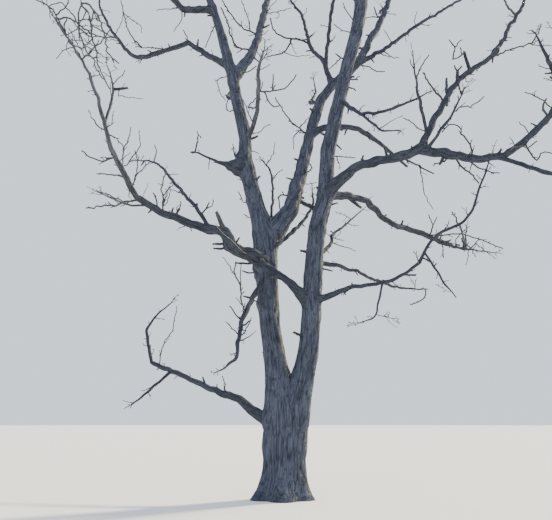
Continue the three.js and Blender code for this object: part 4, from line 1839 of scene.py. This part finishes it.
# Broken stubs that the photo shows, each by the pixels of its foot and of its tip
PHOTO_STUBS: dict[str, tuple[Row, ...]] = {
    "snapped_stub": ((80, 221.5, 223, 217.2, 213.2),),
    "left_stem": ((50, 250, 263.5, 236, 263), (38, 249, 273, 242.6, 271)),
    "left_bough": ((56, 222, 244, 213.5, 244), (54, 222, 249, 214.5, 248.5), (44, 172, 212, 173, 208.5)),
    "left_rising_bough": ((40, 198, 203, 196, 208), (36, 206, 209, 209, 203), (44, 145, 159.5, 141.5, 165)),
    "left_bough_fork": ((60, 114, 89.5, 127, 88),),
    "right_stem": (
        (44, 335, 143, 341, 149), (40, 320, 268, 332, 271), (40, 341, 58, 336, 54),
        (44, 330, 205, 337, 203),
    ),
    "middle_stem": ((44, 295, 180, 287, 178), (40, 377, 16, 374, 7)),
    "right_bough_upper": (
        (62, 446.5, 94, 446.5, 79), (86, 457.5, 82, 457.5, 72), (82, 470, 72, 464.5, 53),
        (48, 493, 58, 492.5, 61.5), (56, 448, 95, 449, 99), (64, 446, 99, 447, 105),
    ),
    "back_right_bough": (
        (84, 350, 199, 360, 207), (52, 380, 214, 385, 221), (40, 395, 225, 397, 229),
        (44, 449, 243, 449.5, 247), (50, 456, 245, 459, 245.5), (64, 464, 244, 462, 239),
        (44, 441, 237, 441.5, 233.5), (46, 427, 233, 431, 238),
    ),
    "low_right_bough": ((34, 402, 274.5, 415, 275.5), (34, 383, 279, 385, 282)),
    "right_bough": ((60, 362, 158, 364, 163), (56, 386, 152, 384, 147)),
    "falling_bough": ((34, 433, 267, 436, 264),),
    "low_left_bough": ((50, 205, 384, 203, 378), (44, 182, 372, 179, 376)),
    "drooping_bough": ((40, 245, 325, 249, 321),),
}

# The middle of the strip of bark that hangs peeled across the elbow of the left bough
PEELED_STRIP = (
    (215.7, 223), (217.3, 227.3), (224.8, 235), (231.4, 239.8), (238, 247), (244.7, 253), (248.8, 254.7),
)

# Limbs that end snapped off, with no twigs at their tips
SNAPPED = ("snapped_stub", "falling_bough", "canker_bough", "spreading_bough")

# Burls and swellings that the photo shows, and hollows where the height is negative
BURLS = (
    Burl("left_stem", (250, 270), 0.13, 0.07),
    Burl("left_stem", (256, 304), 0.14, 0.06),
    Burl("left_stem", (243, 203), 0.09, 0.035),
    Burl("left_stem", (239, 158), 0.12, 0.06),
    Burl("left_stem", (237, 155), 0.07, 0.05),
    Burl("canker_bough", (192, 153), 0.05, 0.018),
    Burl("canker_bough", (228, 170), 0.07, 0.035),
    Burl("canker_bough", (229, 164), 0.05, 0.025),
    Burl("canker_bough", (234.5, 175), 0.08, 0.03),
    Burl("left_bough", (223, 249), 0.1, 0.05),
    Burl("left_bough", (230, 226), 0.1, 0.06),
    Burl("left_bough", (231, 238), 0.12, 0.05),
    Burl("left_bough", (218, 238), 0.13, -0.05),
    Burl("left_bough", (238, 262), 0.14, -0.035),
    Burl("left_stem", (251, 268), 0.08, 0.05),
    Burl("left_stem", (252, 277), 0.08, 0.045),
    Burl("right_bough_upper", (495, 51), 0.13, 0.05),
    Burl("back_right_bough", (464, 247), 0.1, 0.035),
    Burl("right_stem", (330, 232), 0.12, 0.04),
    Burl("right_bough_upper", (446, 102), 0.09, 0.025),
    Burl("right_bough_upper", (470, 73), 0.08, 0.025),
)

# The bark of each slot: old furrowed bark on the trunk and the stems, rougher and a little darker bark on the
# boughs, whose extra darkness is partly painted shade for boughs and stubs that lie in shadow, paler
# weathered bark, and bare wood that the weather has turned grey
BARKS = {
    # The last colour of each is its lichen, which is also laid thicker on the side facing the key light as a
    # painted sunlit rim.
    "furrowed_bark": FurrowedBark("furrowed_bark", "1a1d25", "333846", "4d5262", "888c6e", 0.3),
    # Darker than the stems' bark, partly as painted shade.
    "bough_bark": FurrowedBark("rough_bough_bark", "171a21", "2c313c", "434854", "767a64", 0.25),
    "weathered_bark": FurrowedBark("weathered_bark", "24272e", "42464f", "60646d", "7f8376", 0.4, 0.6),
    "bare_wood": FurrowedBark("bare_weathered_wood", "26272a", "3f4043", "555556", "6a6c66", 0.1),
}

# The torn wood at broken ends, warmer and with hardly any lichen
TORN_WOOD = FurrowedBark("torn_weathered_wood", "2a2a2b", "454443", "62605b", "6f7069", 0.05)

# The slot and the colour of each kind of twig
TWIG_BARKS = {
    TwigKind.DARK: ("bough_bark", "2e3034"),
    TwigKind.BROWN: ("bough_bark", "3c3a39"),
    TwigKind.GREY: ("bough_bark", "4a4b4d"),
    TwigKind.PALE: ("weathered_bark", "47484c"),
    TwigKind.BARE: ("bare_wood", "8f8b78"),
}


@dataclass(frozen=True)
class Sprays:
    """The tree's twigs: those that the photo shows, those at the limbs' ends and those along them.

    Attributes:
        pale: The nodes whose twigs are pale with lichen, at least pale_share of them.
        shares: How many twigs of other nodes are dark, brown and grey.
        lean: How far a photographed twig may run towards the camera or away, as a share of its length.
        near_foot: A path that starts within this many pixels of its carrier starts on it.
        fork: The twigs that a tip forks into, by angle in degrees, length and thickness beside the tip's.
        apart: How far apart twigs are on thin limbs, and how much further for each metre of radius.
        gaps: The least and the most that chance makes of that distance.
        end_spreads: The least and the most that chance makes of a fork's angles.
        end_lengths: The same for its lengths.
        end_seen: The share of those lengths that is kept where the photo shows the tip.
        angles: The least and the most that a side twig stands off its limb, in degrees.
        usual: The middle and the spread of the logarithm of a side twig's length.
        limits: The shortest and the longest that it may be.
        thick_limb: The radius past which a limb's twigs are shorter, and by what factor.
        seen: A side twig's factor where the photo shows its foot, and what it gains as it points away.
        unseen: The factor where the photo doesn't show its foot.
        lifts: How strongly twigs turn up, and how strongly the others turn down.
        rising: The share of them that turn up.
    """

    grower: TwigGrower
    courses: dict[str, Course]
    pale: frozenset[str]
    camera: PhotoCamera
    stubs: dict[str, list[Array]]
    pale_share: float = 0.7
    shares: tuple[float, float, float] = (0.4, 0.4, 0.2)
    lean: float = 0.4
    near_foot: float = 9.0
    strip: float = 0.007
    fork: tuple[tuple[float, float, float], ...] = ((6, 0.75, 0.92), (34, 0.6, 0.7), (-38, 0.45, 0.7))
    foot_gap: float = 0.3
    tip_gap: float = 0.05
    apart: Span = (0.16, 4.2)
    apart_most: float = 0.26
    gaps: Span = (0.5, 1.5)
    first_gap: float = 0.4
    turn_stray: float = 0.4
    peel_out: float = 1.08
    end_spreads: Span = (0.6, 1.3)
    end_lengths: Span = (0.7, 1.3)
    end_seen: float = 0.45
    angles: Span = (38, 75)
    upward: float = 0.15
    usual: Span = (-1.35, 0.65)
    limits: Span = (0.06, 1.4)
    thick_limb: Span = (0.12, 0.6)
    seen: Span = (0.3, 0.5)
    unseen: float = 1.7
    lifts: Span = (0.04, -0.03)
    rising: float = 0.7
    sunk: float = 0.75

    def kind(self, limb: str) -> TwigKind:
        """Deals the kind of a limb's next twig.

        Args:
            limb: The limb's node.

        Returns:
            The kind.
        """
        if limb in self.pale:
            return TwigKind.PALE if self.grower.rng.random() < self.pale_share else TwigKind.GREY
        return (TwigKind.DARK, TwigKind.BROWN, TwigKind.GREY)[int(self.grower.rng.choice(3, p=self.shares))]

    def photographed(self) -> None:
        """Lays each twig that the photo shows along its own path, at the depth of what carries it."""
        grower, habit = self.grower, Habit(spurs=0.3, spur_share=0.2, crook=10, taper=0.66)
        for limb, rows in PHOTO_SPRAYS.items():
            lines = [self.courses[limb].points, *self.stubs.get(limb, [])]
            for thick, *run in rows:
                pixels = list(zip(run[::2], run[1::2]))
                carrier = np.vstack(lines)
                off = self.camera.misses(carrier, pixels[0])
                foot = carrier[int(off.argmin())]
                depth = float(self.camera.depth(foot))
                along = travelled(np.array([self.camera.place_at(pixel, depth) for pixel in pixels]))
                lean = grower.rng.uniform(-self.lean, self.lean)
                path = [self.camera.place_at(pixel, depth + lean * far) for pixel, far in zip(pixels, along)]
                skip = 1 if off.min() < self.near_foot else 0
                kind = self.kind(limb)
                lines.append(grower.follow(np.array([foot, *path[skip:]]), thick / 2000, habit, kind))

    def peeled(self) -> None:
        """Lays the peeled strip on the side of the left bough that the photo shows."""
        course = self.courses["left_bough"]
        spots = []
        for pixel in PEELED_STRIP:
            index = int(self.camera.misses(course.points, pixel).argmin())
            depth = float(self.camera.depth(course.points[index]))
            beside = float(np.linalg.norm(self.camera.place_at(pixel, depth) - course.points[index]))
            radius = float(course.radii[index]) * self.peel_out
            spots.append(self.camera.place_at(pixel, depth - math.sqrt(max(radius**2 - beside**2, 0.0))))
        self.grower.shoots[TwigKind.BARE].append(Shoot(np.array(spots), np.full(len(spots), self.strip)))

    def ends(self) -> None:
        """Grows the fork of twigs that each limb's tip ends in."""
        grower, habit = self.grower, Habit(spurs=0.62, lift=0.03)
        for name, course in self.courses.items():
            radius = float(course.radii[-1])
            if radius > THICK_TIP or name in SNAPPED:
                continue
            kind = self.kind(name)
            tip, heading = course.points[-1], course.tangents[-1]
            axis = grower.across(heading)
            for spread, length, thick in self.fork:
                lead = grower.turned(heading, spread * grower.rng.uniform(*self.end_spreads), axis)
                length = length * grower.rng.uniform(*self.end_lengths)
                if self.camera.sees(tip):
                    length *= self.end_seen
                foot = tip - heading * radius * (0.5 + abs(spread) / 20)
                grower.grow(foot, lead, length, radius * thick, habit, kind)

    def along(self) -> None:
        """Grows twigs from the sides of the limbs, closer together where a limb is thin."""
        rng, golden = self.grower.rng, 137.5 * DEGREE
        for course in self.courses.values():
            turn = rng.uniform(0, FULL_TURN)
            reach = course.foot_inside + self.foot_gap + rng.uniform(0, self.first_gap)
            while reach < course.long - self.tip_gap:
                self.side_twig(course, reach, turn)
                turn += golden + rng.normal() * self.turn_stray
                spacing = self.apart[0] + self.apart[1] * min(course.radius(reach), self.apart_most)
                reach += spacing * rng.uniform(*self.gaps)

    def side_twig(self, course: Course, reach: float, turn: float) -> None:
        """Grows one twig from a limb's side, shorter where the photo shows open sky.

        Args:
            course: The limb.
            reach: How far along it the twig starts.
            turn: How far round it, in radians.
        """
        rng, radius = self.grower.rng, course.radius(reach)
        middle, tangent, outward = course.at(reach, turn)
        angle = rng.uniform(*self.angles) * DEGREE
        heading = unit(tangent * math.cos(angle) + outward * math.sin(angle) + UP * self.upward)
        length = float(np.clip(rng.lognormal(*self.usual), *self.limits))
        if radius > self.thick_limb[0]:
            length *= self.thick_limb[1]
        if self.camera.sees(middle):
            length *= self.seen[0] + self.seen[1] * abs(heading @ self.camera.ahead)
        else:
            length *= self.unseen
        thick = min(0.55 * radius, 0.006 + 0.016 * length**0.6 + 0.02 * radius)
        habit = Habit(lift=self.lifts[0 if rng.random() < self.rising else 1])
        foot = middle + outward * radius * self.sunk
        self.grower.grow(foot, heading, length, thick, habit, self.kind(course.name))


@dataclass
class BrokenStubs:
    """The short snapped branches: sleeves of bark that end in jagged torn wood.

    A sleeve has around faces round it, each a step long, and its middle line strays by kink radii. Its own
    radius is thick[0] of the stub's, and more by thick[1] at its foot. The radii, depth, jags and heart of a
    torn end are in radii of the stub.

    Attributes:
        apart: How far apart stubs are on thin limbs, and how much further for each metre of radius.
        gaps: The least and the most that chance makes of that distance.
        first: The least and the most that the first one is up the limb.
        share: The least and the most of a stub's radius beside its limb's.
        angles: The least and the most that it stands off the limb, in degrees.
        stand: The least and the most that it stands out of the bark, in its own radii.
    """

    courses: dict[str, Course]
    camera: PhotoCamera
    rng: np.random.Generator
    around: int = 8
    step: float = 0.035
    kink: float = 0.12
    splinters: int = 9
    thinnest: float = 0.007
    thickest: float = 0.034
    thick: Span = (0.96, 0.34)
    torn_radii: Span = (0.94, 0.86)
    torn_depth: float = 0.9
    jags: Span = (-0.4, 1.1)
    heart: float = 0.2
    torn_relief: float = 0.75
    torn_reach: float = 2.0
    torn_grain: float = 2.2
    apart: Span = (0.35, 5.0)
    gaps: Span = (0.5, 1.6)
    first: Span = (0.3, 1.0)
    end_gap: float = 0.15
    share: Span = (0.18, 0.42)
    angles: Span = (48, 88)
    stand: Span = (2.0, 7.0)
    sunk: float = 2.5
    lines: dict[str, list[Array]] = field(default_factory=dict)

    def __post_init__(self) -> None:
        """Starts the two meshes, with what the torn wood's finish reads at its corners."""
        self.bark = bmesh.new()
        self.wood = bmesh.new()
        self.wood_relief = self.wood.verts.layers.float.new("relief")
        self.wood_reach = self.wood.verts.layers.float.new("reach")
        self.wood_grain = self.wood.verts.layers.float_vector.new("pattern")

    def snap(self, points: Array, radius: float) -> None:
        """Adds one stub.

        Args:
            points: Its middle line, from inside what carries it to its broken end.
            radius: Its radius.
        """
        chord = travelled(points)
        places = np.linspace(0, chord[-1], max(5, round(chord[-1] / self.step)))
        line = np.stack([np.interp(places, chord, points[:, axis]) for axis in range(3)], axis=-1)
        line[1:-1] += self.rng.normal(size=(len(line) - 2, 3)) * self.kink * radius
        flare = np.exp(-places / (1.5 * radius + 0.3 * chord[-1]))
        thick = radius * (self.thick[0] + self.thick[1] * flare)
        sleeve = Course("stub", line, thick, 0.0, "")
        skin = BarkSkin(sleeve, int(self.rng.integers(1, 9999)), ForkFillet([]))
        take(self.bark, skin.wrap(Band(0.0, sleeve.long, self.around, max(4, len(line) - 1)), True, True))
        self.tear(sleeve.points[-1], sleeve.tangents[-1], float(thick[-1]))

    def tear(self, tip: Array, heading: Array, radius: float) -> None:
        """Adds the splintered wood at a broken end.

        Args:
            tip: Where the end is.
            heading: The direction that it points in.
            radius: Its radius.
        """
        turn = Vector(heading).to_track_quat("Z", "Y").to_matrix().to_4x4()
        place = Matrix.Translation(Vector(tip)) @ turn
        made = bmesh.ops.create_cone(
            self.wood,
            cap_ends=True,
            segments=self.splinters,
            radius1=self.torn_radii[0] * radius,
            radius2=self.torn_radii[1] * radius,
            depth=self.torn_depth * radius,
            matrix=place,
        )["verts"]
        ahead = Vector(heading)
        top = [vert for vert in made if (vert.co - place.translation) @ ahead > 0]
        cap = next(face for face in top[0].link_faces if len(face.verts) == self.splinters)
        for vert in top:
            vert.co += ahead * radius * float(self.rng.uniform(*self.jags))
        middle = bmesh.ops.poke(self.wood, faces=[cap])["verts"]
        middle[0].co = place.translation + ahead * radius * self.heart
        back = place.inverted()
        for vert in made + middle:
            vert[self.wood_relief] = self.torn_relief
            vert[self.wood_reach] = self.torn_reach
            vert[self.wood_grain] = (back @ vert.co) * (self.torn_grain / max(radius, 0.01))

    def photographed(self) -> None:
        """Adds the stubs that the photo shows, each from the middle of the limb that carries it."""
        for limb, rows in PHOTO_STUBS.items():
            course = self.courses[limb]
            for thick, *run in rows:
                foot, tip = zip(run[::2], run[1::2])
                middle = course.points[int(self.camera.misses(course.points, foot).argmin())]
                depth = float(self.camera.depth(middle))
                line = np.array((middle, self.camera.place_at(foot, depth), self.camera.place_at(tip, depth)))
                self.snap(line, thick / 2000)
                share = np.linspace(0, 1, 9)[:, None]
                self.lines.setdefault(limb, []).append(line[1] + (line[2] - line[1]) * share)

    def dealt(self) -> None:
        """Adds small stubs all along the boughs by chance, as every old bough has."""
        for course in self.courses.values():
            reach = course.foot_inside + self.rng.uniform(*self.first)
            while reach < course.long - self.end_gap:
                self.dealt_one(course, reach)
                reach += (self.apart[0] + self.apart[1] * course.radius(reach)) * self.rng.uniform(*self.gaps)

    def dealt_one(self, course: Course, reach: float) -> None:
        """Adds one stub.

        Args:
            course: The limb that carries it.
            reach: How far along the limb it is.
        """
        limb = course.radius(reach)
        radius = float(np.clip(limb * self.rng.uniform(*self.share), self.thinnest, self.thickest))
        middle, tangent, outward = course.at(reach, self.rng.uniform(0, FULL_TURN))
        angle = self.rng.uniform(*self.angles) * DEGREE
        heading = unit(tangent * math.cos(angle) + outward * math.sin(angle))
        length = limb / math.sin(angle) + radius * self.rng.uniform(*self.stand)
        foot = middle + heading * max(0.0, limb - self.sunk * radius)
        self.snap(np.array((foot, middle + heading * length)), radius)

    def build(self) -> tuple[Object, Object]:
        """Builds all the stubs, and the torn wood of the limbs that end snapped off.

        Returns:
            The bark of the stubs, and the torn wood.
        """
        self.photographed()
        self.dealt()
        for name in SNAPPED:
            course = self.courses[name]
            self.tear(course.points[-1], course.tangents[-1], float(course.radii[-1]))
        bmesh.ops.remove_doubles(self.bark, verts=self.bark.verts, dist=SEAM)
        wood = finished(self.wood, "torn_wood", smooth=False)
        return finished(self.bark, "broken_stubs"), wood


@dataclass
class DeadTree:
    """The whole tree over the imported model.

    Bark is rounded over fillet_share radii where a limb comes out, and over stem_fillet at the stems' feet.
    Twigs may reach out of the CAD box by twig_room of each side.
    """

    frame: dict
    camera: PhotoCamera
    fillet_share: float = 1.5
    stem_fillet: float = 0.3
    twig_room: float = 0.012

    def fillets(self, name: str, courses: dict[str, Course], trunk: TrunkForm) -> ForkFillet:
        """Gathers what meets a limb: its carrier, the limbs that it carries, its graft and the other stem.

        Args:
            name: The limb's node.
            courses: The limbs.
            trunk: The trunk's shape.

        Returns:
            The rounding at all of them.
        """
        course = courses[name]
        others: list[tuple[Course | TrunkForm, float]] = []
        if course.carrier == "trunk":
            others.append((trunk, self.stem_fillet))
        elif course.foot_inside > 0:
            carrier = courses[course.carrier]
            others.append((carrier.part(course.points[0], 1.2), self.fillet_share * course.neck))
        for other in courses.values():
            if other.carrier == name and other.foot_inside > 0:
                others.append((other.part(other.points[0], 1.2), self.fillet_share * other.neck))
        for one, other in GRAFTS:
            if name in (one, other):
                tip, grown = courses[one], courses[other if name == one else one]
                others.append((grown.part(tip.points[-1], 0.8), self.fillet_share * float(tip.radii[-1])))
        if name in STEMS:
            twin = courses[STEMS[1 - STEMS.index(name)]]
            others.append((twin.part(twin.points[0], 1.8), self.stem_fillet))
        return ForkFillet(others)

    def dress(self, piece: Object, slot: str, material: Material, *nodes: str) -> None:
        """Gives a piece its material and its body, hides the nodes that it stands for and logs its slot.

        Args:
            piece: The piece.
            slot: Its material slot.
            material: Its material.
            nodes: The nodes, or none for a piece that only adds to the tree.
        """
        piece.data.materials.append(material)
        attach(piece, BODY)
        if nodes:
            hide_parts(*nodes)
        triangles = sum(len(face.vertices) - 2 for face in piece.data.polygons)
        LOG.info("%s: %d triangles, slot %s", piece.name, triangles, slot)

    def build(self) -> None:
        """Builds the bark of the trunk and of every limb, the broken stubs and the twigs."""
        nodes = self.frame["nodes"]
        slots = {row["node"]: row["material_slot"] for row in self.frame["record"]["subparts"]}
        barks = {slot: bark.material() for slot, bark in BARKS.items()}
        trunk = TrunkForm.from_node(nodes["trunk"])
        courses = read_courses(nodes, LimbReader())
        for name, course in courses.items():
            LOG.info("%s grows from %s, %.2f long", name, course.carrier, course.long)
        stems = [courses[name] for name in STEMS]
        crotch = ForkFillet([(stem.part(stem.points[0], 2.0), self.stem_fillet) for stem in stems])
        self.dress(trunk.build("trunk_bark", crotch), slots["trunk"], barks[slots["trunk"]], "trunk")
        for number, name in enumerate(sorted(courses)):
            course = courses[name]
            burls = [burl for burl in BURLS if burl.limb == name]
            lumps = tuple((burl.centre(course, self.camera), burl.size, burl.height) for burl in burls)
            skin = BarkSkin(course, 100 + 10 * number, self.fillets(name, courses, trunk), lumps)
            self.dress(skin.build(f"{name}_bark"), slots[name], barks[slots[name]], name)
        broken = BrokenStubs(courses, self.camera, np.random.default_rng(SEED + 1))
        stubs, wood = broken.build()
        # The stubs take the boughs' bark, whose darker tone is partly painted shade.
        self.dress(stubs, "bough_bark", barks["bough_bark"])
        self.dress(wood, "bare_wood", TORN_WOOD.material())
        self.build_twigs(courses, slots, broken.lines)

    def build_twigs(
        self, courses: dict[str, Course], slots: dict[str, str], stubs: dict[str, list[Array]]
    ) -> None:
        """Grows the twigs and joins each kind into one piece.

        Args:
            courses: The limbs.
            slots: The material slot of each node.
            stubs: The middle lines of each limb's broken stubs.
        """
        low, high = (np.array(corner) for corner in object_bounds())
        spare = (high - low) * self.twig_room
        grower = TwigGrower(np.random.default_rng(SEED), low - spare, high + spare)
        pale = frozenset(name for name, slot in slots.items() if slot == "weathered_bark")
        sprays = Sprays(grower, courses, pale, self.camera, stubs)
        sprays.photographed()
        sprays.peeled()
        sprays.ends()
        sprays.along()
        for kind, (slot, colour) in TWIG_BARKS.items():
            piece = TwigMesh(kind).build(grower.shoots[kind])
            self.dress(piece, slot, PlainBark(f"{kind.value}_bark", colour).material())


def main() -> None:
    """Builds the tree, the studio and the camera."""
    logging.basicConfig(level=logging.INFO, format="%(name)s: %(message)s", stream=sys.stdout)
    for leftover in list(bpy.data.objects):
        bpy.data.objects.remove(leftover)
    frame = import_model()
    camera = PhotoCamera()
    camera.add()
    DeadTree(frame, camera).build()
    Studio().build()


if __name__ == "__main__":
    main()
